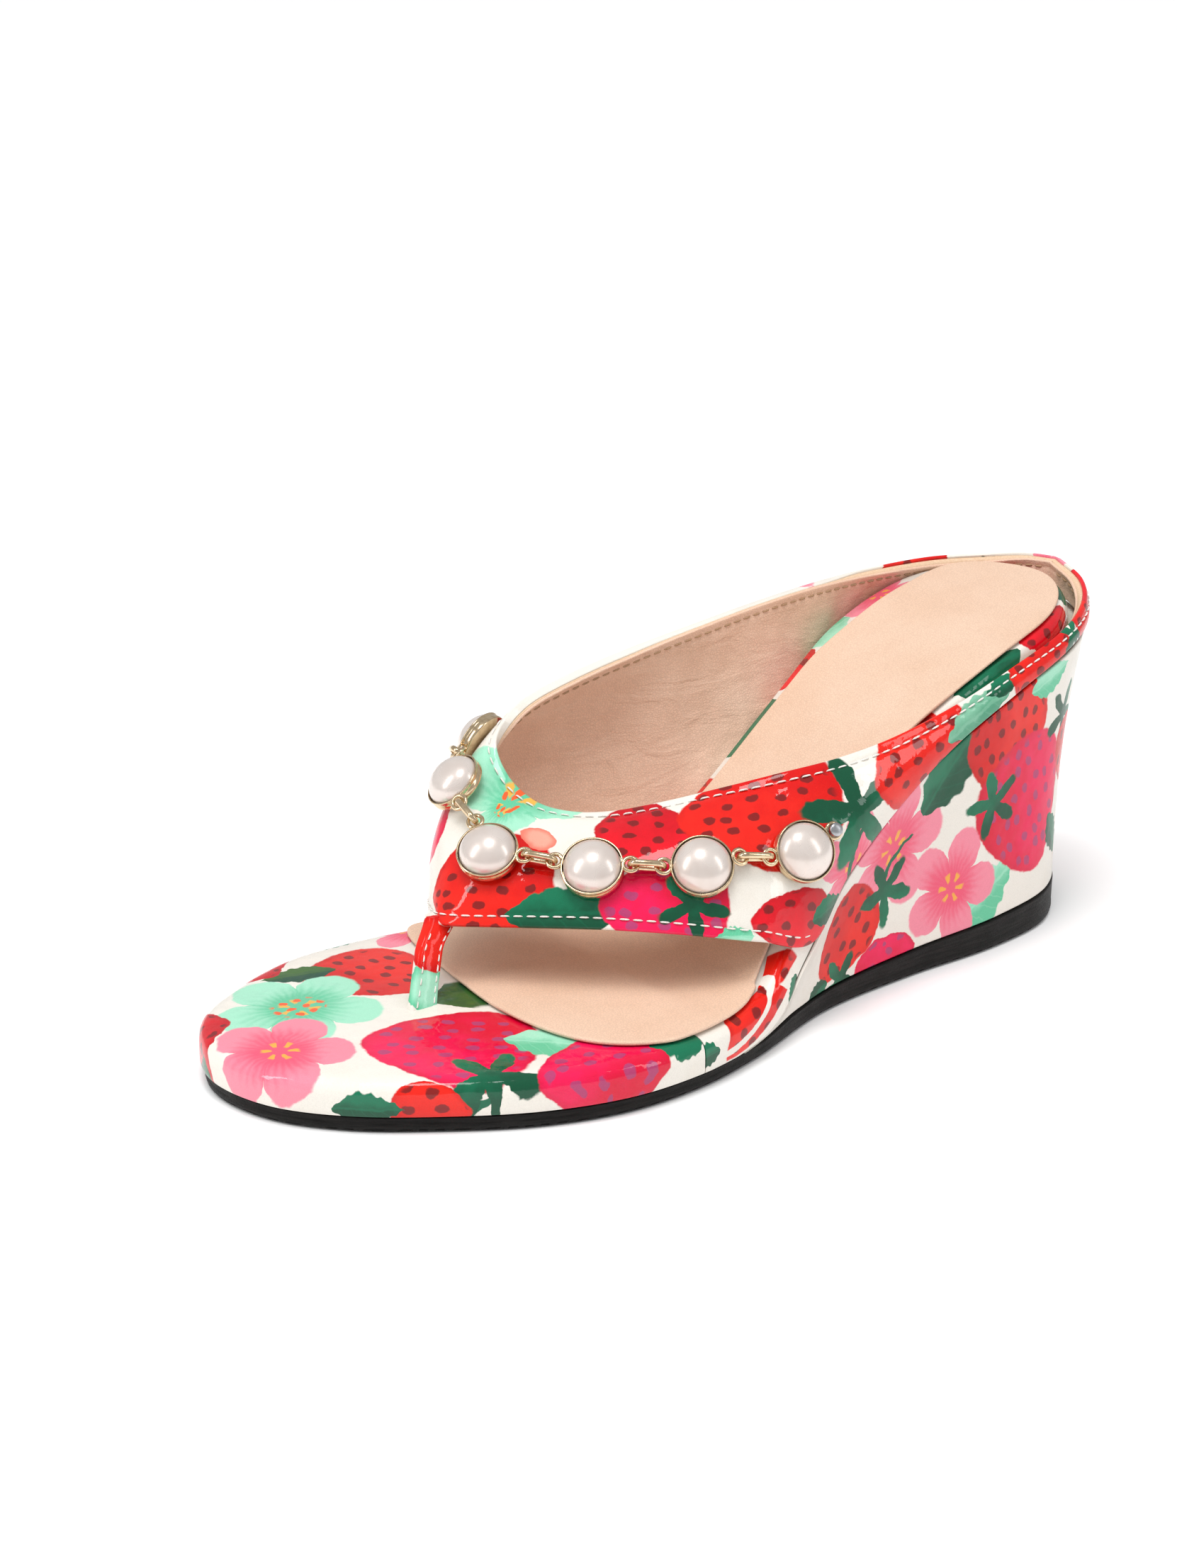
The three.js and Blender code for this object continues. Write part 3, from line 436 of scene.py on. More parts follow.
class Value:
    """An output in a node tree. Arithmetic on it adds nodes."""

    def __init__(self, nodes, socket):
        self.nodes, self.socket = nodes, socket

    def __add__(self, other):
        return self.nodes.math("ADD", self, other)

    def __sub__(self, other):
        return self.nodes.math("SUBTRACT", self, other)

    def __rsub__(self, other):
        return self.nodes.math("SUBTRACT", other, self)

    def __mul__(self, other):
        return self.nodes.math("MULTIPLY", self, other)

    def __truediv__(self, other):
        return self.nodes.math("DIVIDE", self, other)

    def __pow__(self, other):
        return self.nodes.math("POWER", self, other)

    def __abs__(self):
        return self.nodes.math("ABSOLUTE", self)

    __radd__, __rmul__ = __add__, __mul__

    def fade(self, low, high, to_low=0.0, to_high=1.0):
        """A soft step from to_low at low to to_high at high."""
        inputs = {"Value": self, "From Min": low, "From Max": high, "To Min": to_low, "To Max": to_high}
        return self.nodes.add("MapRange", inputs, interpolation_type="SMOOTHSTEP")


class Nodes:
    """Builds node trees with short calls. Inputs are Values or constants."""

    def __init__(self, tree):
        self.tree = tree

    def put(self, socket, value):
        if isinstance(value, Value):
            self.tree.links.new(value.socket, socket)
        else:
            socket.default_value = (*value, 1) if socket.type == "RGBA" and len(value) == 3 else value

    def add(self, kind, inputs, output=0, **settings):
        """One output of a new node, whose inputs go by name or number."""
        node = self.tree.nodes.new("ShaderNode" + kind)
        for key, value in settings.items():
            setattr(node, key, value)
        for key, value in inputs.items():
            self.put(node.inputs[key], value)
        return Value(self, node.outputs[output])

    def math(self, operation, a, b=0.0):
        return self.add("Math", {0: a, 1: b}, operation=operation)

    def vector(self, operation, a, b):
        return self.add("VectorMath", {0: a, 1: b}, operation=operation)

    def scaled(self, a, scale):
        return self.add("VectorMath", {0: a, "Scale": scale}, operation="SCALE")

    def mix(self, a, b, share):
        return self.add("Mix", {0: share, 6: a, 7: b}, 2, data_type="RGBA")

    def split(self, vector):
        x = self.add("SeparateXYZ", {0: vector})
        return [Value(self, output) for output in x.socket.node.outputs]

    def length(self, x, y):
        return self.math("SQRT", x * x + y * y)


class Material(Nodes):
    """A new material whose nodes lead to one Principled shader."""

    def __init__(self, name):
        self.material = bpy.data.materials.new(name)
        self.material.use_nodes = True
        super().__init__(self.material.node_tree)
        self.mm = self.scaled(self.add("TexCoord", {}, "Object"), 1000.0)

    def noise(self, scale, detail=2.0, roughness=0.5, distortion=0.0, at=None, output="Fac"):
        inputs = {"Vector": at or self.mm, "Scale": scale, "Detail": detail}
        return self.add("TexNoise", {**inputs, "Roughness": roughness, "Distortion": distortion}, output)

    def bump(self, *layers, normal=None):
        """The normal of layers of (height, distance), each over the one before."""
        for height, distance in layers:
            inputs = {"Height": height, "Distance": distance}
            normal = self.add("Bump", {**inputs, "Normal": normal} if normal else inputs)
        return normal

    def shade(self, **values):
        for key, value in values.items():
            self.put(self.tree.nodes["Principled BSDF"].inputs[key.replace("_", " ")], value)
        return self.material


# ------------------------------------------------------------------ printed motifs

# Each motif is a node group that paints over what is below it. Its vector is in units of the
# motif's own half length, x along it, y across, z out of the surface.

MOTIF_INPUTS = {
    "Under": "Color", "Vector": "Vector", "Width": "Float", "Dark": "Color", "Light": "Color",
    "Tone": "Float", "Seeds": "Float", "Spot": "Color",
}


def motif_group(name, paint):
    tree = bpy.data.node_groups.new(name, "ShaderNodeTree")
    for label, kind in MOTIF_INPUTS.items():
        tree.interface.new_socket(label, in_out="INPUT", socket_type="NodeSocket" + kind)
    tree.interface.new_socket("Over", in_out="OUTPUT", socket_type="NodeSocketColor")
    n = Nodes(tree)
    given = {output.name: Value(n, output) for output in tree.nodes.new("NodeGroupInput").outputs}
    x, y, z = n.split(given["Vector"])
    # what lies off the motif's plane is unfolded into it, so that the motif bends round an edge
    lift = n.math("MAXIMUM", abs(z) - 0.12, 0.0)
    unfold = 1.0 + lift / n.math("MAXIMUM", n.length(x, y), 0.2)
    colour, mask = paint(n, x * unfold, y * unfold, given)
    over = n.mix(given["Under"], colour, mask * abs(z).fade(0.95, 0.75))
    n.put(tree.nodes.new("NodeGroupOutput").inputs[0], over)
    return tree


def paint_berry(n, x, y, given):
    f = n.length(x, y / (given["Width"] * (1.0 - x * 0.34)))
    side = y * 0.7 + x * 0.25 + given["Tone"] * 1.5
    colour = n.mix(given["Dark"], given["Light"], side.fade(0.1, 1.25))
    place = n.add("CombineXYZ", {0: x * given["Seeds"] * 0.72, 1: y * given["Seeds"]})
    cells = {"Vector": place, "Scale": 1.0, "Randomness": 0.45}
    seed = n.add("TexVoronoi", cells, "Distance", feature="F1", voronoi_dimensions="2D")
    seeded = seed.fade(0.27, 0.2) * f.fade(0.95, 0.85)
    colour = n.mix(colour, given["Spot"], seeded * 0.85)
    rim = f.fade(0.8, 1.0) * given["Tone"].fade(0.35, 0.6)
    return n.mix(colour, n.scaled(given["Dark"], 0.8), rim * 0.6), f.fade(1.0, 0.96)


def paint_flower(n, x, y, given):
    angle, radius = n.math("ARCTAN2", y, x), n.length(x, y)
    petal = abs(n.math("COSINE", angle * 2.5)) ** 0.56
    f = radius / (1.0 - (1.0 - petal) * given["Width"] * 0.58)
    streak = n.math("SINE", angle * 31.0 + given["Tone"] * 14.0)
    depth = radius + streak * 0.05 + given["Tone"] * 0.5
    colour = n.mix(given["Dark"], given["Light"], depth.fade(0.45, 1.0))
    gaps = petal.fade(0.34, 0.05) * radius.fade(0.12, 0.3)
    colour = n.mix(colour, given["Dark"], gaps * 0.7)
    ring = n.math("COSINE", angle * 6.0).fade(0.2, 0.6)
    dots = ring * radius.fade(0.09, 0.13) * radius.fade(0.27, 0.22)
    return n.mix(colour, given["Spot"], dots * given["Seeds"]), f.fade(1.0, 0.95)


def paint_mint_flower(n, x, y, given):
    colour, mask = paint_flower(n, x, y, given)
    specks = (n.math("SINE", x * 24.0) * n.math("SINE", y * 24.0)).fade(0.3, 0.5)
    return n.mix(colour, (0.83, 0.12, 0.03), specks * n.length(x, y).fade(0.34, 0.28)), mask


def paint_leaf(n, x, y, given):
    across = abs(y)
    ragged = n.math("SINE", x * 19.0) * 0.07
    width = ((1.0 - x * x) * (1.0 - x * 0.25) + ragged) * given["Width"]
    f = across / n.math("MAXIMUM", width, 0.001)
    colour = n.mix(given["Dark"], given["Light"], (y + given["Tone"] * 0.7).fade(0.15, 0.6))
    veins = n.math("SINE", (x - across * 0.8) * 21.0).fade(0.86, 1.0) * 0.35
    lines = n.math("MAXIMUM", across.fade(0.05, 0.015), veins)
    return n.mix(colour, given["Light"], lines * 0.55), f.fade(1.0, 0.9) * abs(x).fade(1.0, 0.98)


def paint_star(n, x, y, given):
    angle = n.math("ARCTAN2", y, x)
    spike = abs(n.math("COSINE", angle * 2.5 + given["Tone"] * 1.2)) ** 2.2
    f = n.length(x, y) / (0.27 + spike * 0.73)
    return n.mix(given["Dark"], given["Light"], (y * 0.5 + given["Tone"]).fade(0.3, 0.85)), f.fade(1.0, 0.9)


def paint_stem(n, x, y, given):
    f = abs(y - x * x * 0.25) / (given["Width"] * (0.75 + x * 0.25))
    return n.mix(given["Dark"], given["Light"], given["Tone"]), f.fade(1.0, 0.8) * abs(x).fade(1.0, 0.97)


def paint_wash(n, x, y, given):
    f = n.length(x, y / given["Width"]) + given["Tone"] * 0.5
    return n.mix(given["Light"], given["Dark"], f.fade(0.75, 1.2)), f.fade(1.25, 1.2)


PAINTS = {
    "berry": paint_berry, "flower": paint_flower, "mint": paint_mint_flower, "leaf": paint_leaf,
    "star": paint_star, "stem": paint_stem, "wash": paint_wash,
}
GROUPS = {name: motif_group("motif_" + name, paint) for name, paint in PAINTS.items()}

RED = ((0.6, 0.001, 0.001), (0.8, 0.014, 0.005))
CRIMSON = ((0.52, 0.0005, 0.008), (0.78, 0.002, 0.014))
ROSE = ((0.66, 0.0005, 0.03), (0.82, 0.006, 0.09))
SALMON = ((0.78, 0.2, 0.14), (0.88, 0.36, 0.27))
PINK = ((0.8, 0.09, 0.17), (0.84, 0.25, 0.33))
GREEN = ((0.001, 0.07, 0.03), (0.003, 0.16, 0.075))
OLIVE = ((0.004, 0.06, 0.03), (0.045, 0.13, 0.02))
MINT = ((0.12, 0.53, 0.31), (0.36, 0.74, 0.54))
SAGE = ((0.06, 0.3, 0.17), (0.22, 0.5, 0.34))
CREAM = (0.8, 0.76, 0.69)
PAPER = (CREAM, CREAM)
SEED_BROWN, SEED_LILAC, POLLEN = (0.13, 0.008, 0.008), (0.36, 0.05, 0.16), (0.86, 0.42, 0.05)

# kind, colours, middle (design frame, mm), the way it points, half length, width share
TOE_PRINT = [
    ("berry", RED, (189, -22, 13), (-3, 10, 0), 16, 0.92),
    ("leaf", OLIVE, (203, -33, 12), (10, -3, 0), 9, 0.5),
    ("mint", MINT, (213, -16, 13), (-7, 7, 0), 20, 0.78),
    ("berry", CRIMSON, (234, -19, 6), (4, 9, -4), 12, 0.8),
    ("flower", PINK, (228, 1, 10), (-8, 6, 0), 17, 0.75),
    ("leaf", GREEN, (236, -13, 4), (-3, 8, -1), 6, 0.5),
    ("berry", ROSE, (197, 21, 13), (8, -7, 0), 20, 0.86),
    ("stem", GREEN, (206, 42, 5), (8, 1, -6), 6, 0.3),
    ("star", GREEN, (198, 38, 11), (9, -3, 0), 12, 1),
    ("berry", RED, (211, 34, 5), (-9, 6, 0), 9, 0.85),
    ("leaf", GREEN, (222, 26, 6), (-9, 6, 0), 8, 0.5),
    ("leaf", MINT, (178, 33, 13), (-7, 7, 0), 11, 0.6),
    ("berry", ROSE, (175, 47, 10), (10, -1, 0), 16, 0.72),
    ("leaf", OLIVE, (179, 1, 13), (-5, 9, 0), 9, 0.7),
    ("leaf", GREEN, (155, 48, 9), (-9, 1, 0), 8, 0.6),
    ("berry", CRIMSON, (207, -44, 8), (-9, -3, 0), 11, 0.8),
    ("leaf", GREEN, (184, -45, 8), (-10, 0, 0), 10, 0.55),
    ("flower", PINK, (167, -40, 11), (-9, 2, 0), 12, 1),
]
UPPER_PRINT = [
    ("berry", RED, (172, -2, 37), (8, -8, 0), 17, 0.85),
    ("berry", CRIMSON, (138, 16, 46), (-6, 8, 0), 13, 0.8),
    ("wash", SALMON, (157, -1, 45), (-2, 9, -2), 4.5, 0.7),
    ("mint", MINT, (149, -17, 49), (5, 7, -5), 19, 0.75),
    ("leaf", GREEN, (160, 15, 33), (-7, 7, 1), 15, 0.4),
    ("berry", ROSE, (143, 28, 35), (8, -5, 0), 15, 0.8),
    ("star", GREEN, (138, 32, 35), (-8, 6, 0), 9, 1),
    ("flower", PINK, (95, 39, 36), (-5, 0, -9), 15, 1),
    ("berry", RED, (115, 28, 51), (9, -5, -1), 20, 0.78),
    ("stem", GREEN, (96, 39, 40), (3, 1, -9), 9, 0.12),
    ("star", GREEN, (94, 36, 49), (-10, 0, 2), 15, 1),
    ("berry", CRIMSON, (116, 41, 29), (10, -1, 2), 12, 0.62),
    ("leaf", GREEN, (105, 41, 29), (-9, -2, 2), 6, 0.6),
    ("leaf", MINT, (131, 38, 28), (-8, 5, 0), 6, 0.6),
    ("berry", RED, (72, 35, 57), (10, 0, -3), 17, 0.75),
    ("leaf", SAGE, (54, 35, 65), (-9, 0, 4), 12, 0.34),
    ("leaf", GREEN, (45, 34, 70), (-9, 0, 3), 6, 0.4),
    ("berry", RED, (31, 33, 73), (9, 0, -4), 13, 0.8),
    ("star", GREEN, (17, 30, 77), (-9, -2, 3), 7, 1),
    ("berry", RED, (8, 25, 79), (-8, -5, 2), 8, 0.7),
    ("berry", CRIMSON, (-1, 16, 81), (-4, -9, 1), 10, 0.85),
    ("flower", PINK, (-5, -2, 82), (0, -9, 0), 9, 1),
    ("leaf", GREEN, (1, -18, 80), (5, -8, 0), 9, 0.5),
    ("berry", RED, (18, -29, 79), (9, -2, 0), 12, 0.8),
    ("leaf", MINT, (37, -31, 76), (9, 0, -3), 9, 0.55),
    ("flower", PINK, (56, -30, 70), (8, 0, -5), 14, 1),
    ("berry", ROSE, (78, -30, 62), (7, 0, -7), 17, 0.82),
    ("star", GREEN, (68, -30, 73), (-8, 0, 6), 9, 1),
    ("leaf", GREEN, (94, -31, 68), (9, 0, -4), 12, 0.5),
    ("berry", RED, (103, -32, 46), (9, 0, 4), 16, 0.82),
    ("star", GREEN, (90, -28, 42), (-9, 0, -4), 9, 1),
    ("leaf", SAGE, (119, -34, 66), (9, 0, -4), 11, 0.45),
    ("flower", PINK, (124, -38, 43), (8, -1, 5), 14, 1),
    ("berry", CRIMSON, (134, -37, 60), (9, 1, -3), 12, 0.8),
    ("leaf", GREEN, (143, -37, 37), (9, 2, 3), 12, 0.5),
    ("berry", ROSE, (163, -30, 41), (8, 5, -2), 14, 0.82),
    ("leaf", GREEN, (168, -27, 32), (6, 8, -2), 7, 0.5),
]
WEDGE_PRINT = [
    ("leaf", MINT, (46, 31, 15), (-9, -1, 5), 13, 0.62),
    ("flower", PINK, (79, 34, 36), (-9, -2, 2), 18, 1),
    ("flower", PINK, (57, 32, 20), (-10, 0, -1), 16, 1),
    ("stem", GREEN, (79, 34, 32), (6, 0, -8), 9, 0.1),
    ("berry", RED, (94, 35, 18), (7, 1, -7), 13, 0.8),
    ("star", GREEN, (80, 34, 25), (8, 1, -5), 10, 1),
    ("leaf", GREEN, (61, 34, 53), (-5, 0, 7), 14, 0.62),
    ("berry", RED, (40, 33, 54), (-3, -1, -9), 17, 0.86),
    ("berry", ROSE, (31, 31, 35), (-4, -1, -9), 20, 0.84),
    ("star", GREEN, (44, 32, 39), (-6, 0, 7), 10, 1),
    ("leaf", MINT, (27, 32, 68), (-9, -2, 3), 8, 0.6),
    ("star", GREEN, (17, 28, 56), (-3, -3, -9), 9, 1),
    ("berry", RED, (11, 25, 45), (-1, -1, -9), 10, 0.7),
    ("berry", ROSE, (79, 33, 5), (-9, 0, 4), 11, 0.7),
    ("star", GREEN, (95, 35, 6), (-3, 0, 9), 9, 1),
    ("leaf", GREEN, (104, 38, 6), (9, 2, -4), 5, 0.6),
    ("leaf", GREEN, (15, 26, 23), (-5, -2, -8), 8, 0.5),
    ("berry", RED, (2, 11, 62), (0, -2, -9), 14, 0.82),
    ("flower", PINK, (0, 6, 34), (0, -9, 3), 14, 1),
    ("leaf", GREEN, (4, 16, 17), (2, 8, 4), 11, 0.5),
    ("leaf", MINT, (-2, -8, 56), (0, -7, -7), 12, 0.5),
    ("berry", ROSE, (6, -19, 38), (3, -5, -8), 18, 0.84),
    ("star", GREEN, (2, -13, 52), (-2, 3, 9), 9, 1),
    ("flower", PINK, (20, -27, 60), (9, -2, 2), 14, 1),
    ("leaf", GREEN, (11, -22, 17), (8, -5, 2), 12, 0.5),
    ("berry", RED, (36, -29, 38), (6, 0, -8), 18, 0.84),
    ("star", GREEN, (28, -29, 50), (-5, 0, 8), 9, 1),
    ("leaf", SAGE, (45, -29, 57), (9, 0, -4), 12, 0.5),
    ("flower", PINK, (57, -28, 19), (9, 1, 1), 14, 1),
    ("leaf", MINT, (35, -29, 15), (9, 0, 2), 12, 0.55),
    ("berry", ROSE, (67, -27, 42), (7, 0, -7), 14, 0.82),
    ("leaf", GREEN, (82, -26, 28), (8, 0, -5), 12, 0.5),
    ("berry", RED, (92, -26, 15), (9, 0, -3), 12, 0.8),
    ("leaf", GREEN, (108, -29, 9), (9, -2, -2), 8, 0.6),
]
RAND_PRINT = [
    ("berry", RED, (129, 45, 12), (9, 3, -5), 17, 0.6),
    ("stem", PAPER, (113, 41, 19), (7, 2, -8), 9, 0.3),
    ("stem", PAPER, (131, 46, 10), (9, 3, -5), 14, 0.07),
    ("stem", PAPER, (127, 46, 7), (9, 3, -5), 16, 0.14),
    ("leaf", GREEN, (118, 43, 13), (5, 1, -6), 4, 0.5),
    ("leaf", GREEN, (150, 50, 8), (9, 0, -1), 5, 0.6),
    ("berry", RED, (127, -33, 11), (9, -3, -5), 13, 0.42),
    ("leaf", GREEN, (141, -37, 9), (9, -3, 0), 9, 0.5),
]
BAND_PRINT = [
    ("flower", PINK, (32, -25, 79), (9, 0, -3), 13, 1),
    ("leaf", MINT, (52, -24, 71), (8, 0, -5), 9, 0.5),
    ("berry", CRIMSON, (66, -22, 63), (8, 0, -6), 10, 0.6),
    ("leaf", GREEN, (84, -20, 51), (7, 0, -7), 13, 0.5),
    ("berry", RED, (104, -22, 34), (6, 0, -8), 14, 0.7),
    ("berry", RED, (2, -10, 83), (4, -8, 0), 11, 0.6),
    ("leaf", GREEN, (2, 14, 83), (6, 8, 0), 10, 0.5),
    ("berry", CRIMSON, (22, 26, 79), (9, 1, -2), 12, 0.6),
    ("leaf", GREEN, (46, 29, 72), (9, 0, -4), 12, 0.45),
    ("berry", RED, (74, 29, 57), (8, 0, -6), 14, 0.6),
    ("leaf", MINT, (98, 30, 41), (7, 1, -7), 11, 0.5),
]
STRAP_PRINT = [
    ("wash", MINT, (189, -1, 16), (-5, -5, 8), 6, 1),
    ("wash", SAGE, (191, 1, 11), (-5, -5, 8), 4, 1),
    ("wash", RED, (184, -6, 25), (-5, -5, 8), 7, 1),
]


def nearest_frame(tree, place, direction):
    """Middle and rotation of a motif that lies on the surface nearest to place."""
    near, normal, _, _ = tree.find_nearest(Vector((np.array(place, float) + SHIFT) / 1000))
    d = Vector(direction)
    d = (d - normal * d.dot(normal)).normalized()
    return near * 1000, Matrix((d, normal.cross(d), normal)).transposed().to_euler()


def paint_print(n, motifs, tree, ragged):
    """The print's colour: motifs over cream, edges uneven as in watercolour."""
    moved = n.mm
    for scale, reach in ((0.28, 1.7), (1.1, 0.4)):
        wobble = n.vector("SUBTRACT", n.noise(scale, output="Color"), (0.5, 0.5, 0.5))
        moved = n.vector("ADD", moved, n.scaled(wobble, reach * ragged))
    tone = n.noise(0.11, 3.0, 0.6)
    colour = n.mix(CREAM, (0.76, 0.69, 0.6), tone.fade(0.45, 0.75, 0.0, 0.35))
    for kind, (dark, light), place, direction, half, width in motifs:
        middle, turn = nearest_frame(tree, place, direction)
        at = {"Vector": moved, "Location": middle, "Rotation": turn, "Scale": (half, half, half)}
        seeds, spot = 0.9, POLLEN
        if kind == "berry":
            seeds, spot = half / 4.4, SEED_LILAC if dark == ROSE[0] else SEED_BROWN
        inputs = {
            "Under": colour, "Vector": n.add("Mapping", at, vector_type="TEXTURE"), "Width": float(width),
            "Dark": dark, "Light": light, "Tone": tone, "Seeds": seeds, "Spot": spot,
        }
        colour = n.add("Group", inputs, node_tree=GROUPS[kind])
    paper = n.noise(3.5, 2.0, 0.7).fade(0.35, 0.75, 0.0, 0.45)
    return n.mix(colour, n.scaled(colour, 0.82), paper)


def patent(name, motifs, piece, coat=0.75, ragged=1.0, parts=None):
    """Printed fabric under a clear glossy patent coat.

    The motifs lie on piece's surface. With parts, a function of face centres in the design
    frame that numbers them, each part gets its own material with just the motifs that reach it.
    """
    mesh = piece.data
    tree = BVHTree.FromPolygons([v.co for v in mesh.vertices], [tuple(p.vertices) for p in mesh.polygons])
    centres = np.empty(len(mesh.polygons) * 3)
    mesh.polygons.foreach_get("center", centres)
    centres = centres.reshape(-1, 3) * 1000 - SHIFT
    number = np.zeros(len(centres), int) if parts is None else parts(centres)
    for k in range(number.max() + 1):
        near = centres[number == k][::7]
        reach = [m for m in motifs if np.linalg.norm(near - m[2], axis=1).min() < m[4] * 1.15 + 3]
        n = Material(f"{name}_{k + 1}")
        weave = n.noise(5.0, 2.0, 0.6)
        coat_normal = n.bump((n.noise(0.16), 0.0003), (n.noise(1.6, 1.0), 0.00001))
        mesh.materials.append(n.shade(
            Base_Color=paint_print(n, reach, tree, ragged), Roughness=weave.fade(0.3, 0.7, 0.38, 0.52),
            Normal=n.bump((weave, 0.00005), normal=coat_normal), Specular_IOR_Level=0.08,
            Coat_Weight=coat, Coat_Roughness=0.04, Coat_IOR=1.5, Coat_Normal=coat_normal,
        ))
    mesh.polygons.foreach_set("material_index", number.astype(np.int32))
    mesh.update()


def quarters(x):
    """Numbers faces 0 to 3 by which side of x they lie on, and which side of the middle."""
    return lambda centre: (centre[:, 0] > x).astype(int) + 2 * (centre[:, 1] > 0).astype(int)


# ------------------------------------------------------------------ plain materials


def leather_material(name, light, dark, crease_depth):
    n = Material(name)
    pores = {"Vector": n.mm, "Scale": 1.5}
    cell = n.add("TexVoronoi", pores, "Distance", feature="DISTANCE_TO_EDGE").fade(0.0, 0.22)
    fibre = n.noise(4.0, 3.0, 0.65)
    crease = n.noise(0.16, 3.0, 0.55, 0.8, at=n.vector("MULTIPLY", n.mm, (0.35, 1.0, 1.0)))
    colour = n.mix(light, dark, n.noise(0.05, 3.0, 0.6).fade(0.3, 0.75))
    colour = n.mix(colour, n.scaled(colour, 0.86), fibre.fade(0.35, 0.8, 0.0, 0.5))
    return n.shade(
        Base_Color=n.mix(n.scaled(colour, 0.88), colour, cell), Roughness=fibre.fade(0.3, 0.7, 0.46, 0.62),
        Normal=n.bump((crease, crease_depth), (cell, 0.00003), (fibre, 0.00005)),
    )


def rubber_material():
    """Black rubber with a fine wavy tread underneath."""
    n = Material("outsole_rubber")
    grain = n.noise(2.4, 3.0, 0.65)
    scuff = n.noise(2.0, 3.0, 0.6, at=n.vector("MULTIPLY", n.mm, (0.06, 0.06, 1.0)))
    x, y, z = n.split(n.mm)
    ribs = n.math("SINE", x * 1.6 + n.math("SINE", y * 0.55) * 1.8)
    tread = ribs.fade(-0.35, 0.2) * z.fade(0.9, 0.3)
    return n.shade(
        Base_Color=n.mix((0.004, 0.0037, 0.0033), (0.012, 0.0105, 0.0095), scuff.fade(0.35, 0.7)),
        Roughness=grain.fade(0.3, 0.7, 0.42, 0.6), Specular_IOR_Level=0.16,
        Normal=n.bump((grain, 0.00007), (scuff, 0.00008), (tread, 0.0009)),
    )


def plain_material(name, light, dark, grain, roughness, depth=0.0, band=(0.3, 0.7), fine=None, **extra):
    """Two close colours, a roughness range and a relief, all by one noise (scale, detail, roughness).

    With fine, the scale of a second noise, the roughness follows that one.
    """
    n = Material(name)
    cloud = n.noise(*grain)
    sheen = n.noise(fine) if fine else cloud
    if depth:
        extra["Normal"] = n.bump((cloud, depth))
    colour = n.mix(light, dark, cloud.fade(*band))
    return n.shade(Base_Color=colour, Roughness=sheen.fade(0.3, 0.7, *roughness), **extra)


LINING_LEATHER = leather_material("lining_leather_soft", (0.83, 0.57, 0.425), (0.78, 0.51, 0.37), 0.00056)
SOCK_LEATHER = leather_material("sock_leather_smooth", (0.79, 0.555, 0.41), (0.75, 0.51, 0.365), 0.00021)
RUBBER = rubber_material()
GOLD = plain_material(
    "champagne_gold", (0.78, 0.62, 0.41), (0.64, 0.48, 0.3), (0.8,), (0.13, 0.23), 0.000006, (0.35, 0.75),
    fine=9.0, Metallic=1.0,
)
PEARL = plain_material(
    "pearl_lustre", (0.77, 0.69, 0.64), (0.71, 0.62, 0.565), (0.16,), (0.26, 0.3), band=(0.35, 0.7),
    Metallic=0.45, Coat_Weight=0.35, Coat_Roughness=0.07,
)
THREAD = ((5.0,), (0.75, 0.75), 0.00008, (0.35, 0.7))
WHITE_THREAD = plain_material("white_thread", (0.84, 0.82, 0.78), (0.66, 0.62, 0.56), *THREAD)
TAN_THREAD = plain_material("tan_thread", (0.46, 0.29, 0.17), (0.34, 0.2, 0.11), *THREAD)
CUT_EDGE = plain_material(
    "folded_edge", (0.76, 0.55, 0.38), (0.66, 0.45, 0.29), (2.0, 4.0, 0.6), (0.45, 0.55), 0.00004,
)
EVA = plain_material("eva_core", (0.74, 0.7, 0.6), (0.66, 0.61, 0.51), (1.5, 4.0, 0.6), (0.85, 0.95), 0.0001)
BOARD = plain_material(
    "fibreboard", (0.5, 0.37, 0.23), (0.4, 0.28, 0.16), (1.2, 4.0, 0.6), (0.85, 0.95), 0.0001,
)
STEEL = plain_material(
    "shank_steel", (0.5, 0.51, 0.53), (0.4, 0.41, 0.43), (1.0, 4.0, 0.6), (0.3, 0.4), 0.00002, Metallic=1.0,
)

# ------------------------------------------------------------------ outsole

OUTSOLE_FOOT = [(1.5, 0.0), (1.0, 0.05), (0.55, 0.3), (0.18, 0.75), (0.02, 1.4), (0.0, 2.0)]  # inset, height
# inset, depth under the top face, and whether the ring goes down with the covers' lip
OUTSOLE_RIM = [(0.0, 0.35, 1), (0.12, 0.1, 1), (0.4, 0.0, 1), (1.6, 0.0, 1), (1.75, 0.0, 0)]


def build_outsole():
    def ring(inset):
        return plan_point(outsole_curve, ring_ts, inset)

    edge = ring(0.0)
    lip = lip_drop(edge[:, 0])
    foot = OUTSOLE_FOOT[-1][1]
    wall = outsole_top(edge[:, 0]) - lip - foot
    rings = [np.insert(ring(inset), 2, height, 1) for inset, height in OUTSOLE_FOOT]
    rings += [np.column_stack([edge, foot + wall * share - 0.03]) for share in np.linspace(0.1, 0.9, 9)]
    for inset, depth, follows in OUTSOLE_RIM:
        p = ring(inset)
        rings.append(np.column_stack([p, outsole_top(p[:, 0]) - depth - follows * lip]))
    rings, number = np.array(rings), np.arange(len(rings))
    on_wall = smooth(number, 4, 7) * (1 - smooth(number, 12, 15))
    push = (0.1 + 0.1 * waves(rings, 9, 5)) * on_wall[:, None]
    rings[..., :2] += inward(outsole_curve, ring_ts) * push[..., None]
    return emit("outsole_fine", *plate(rings), RUBBER, 50)


settle(build_outsole(), "rubber", "outsole")

# ------------------------------------------------------------------ wedge cover


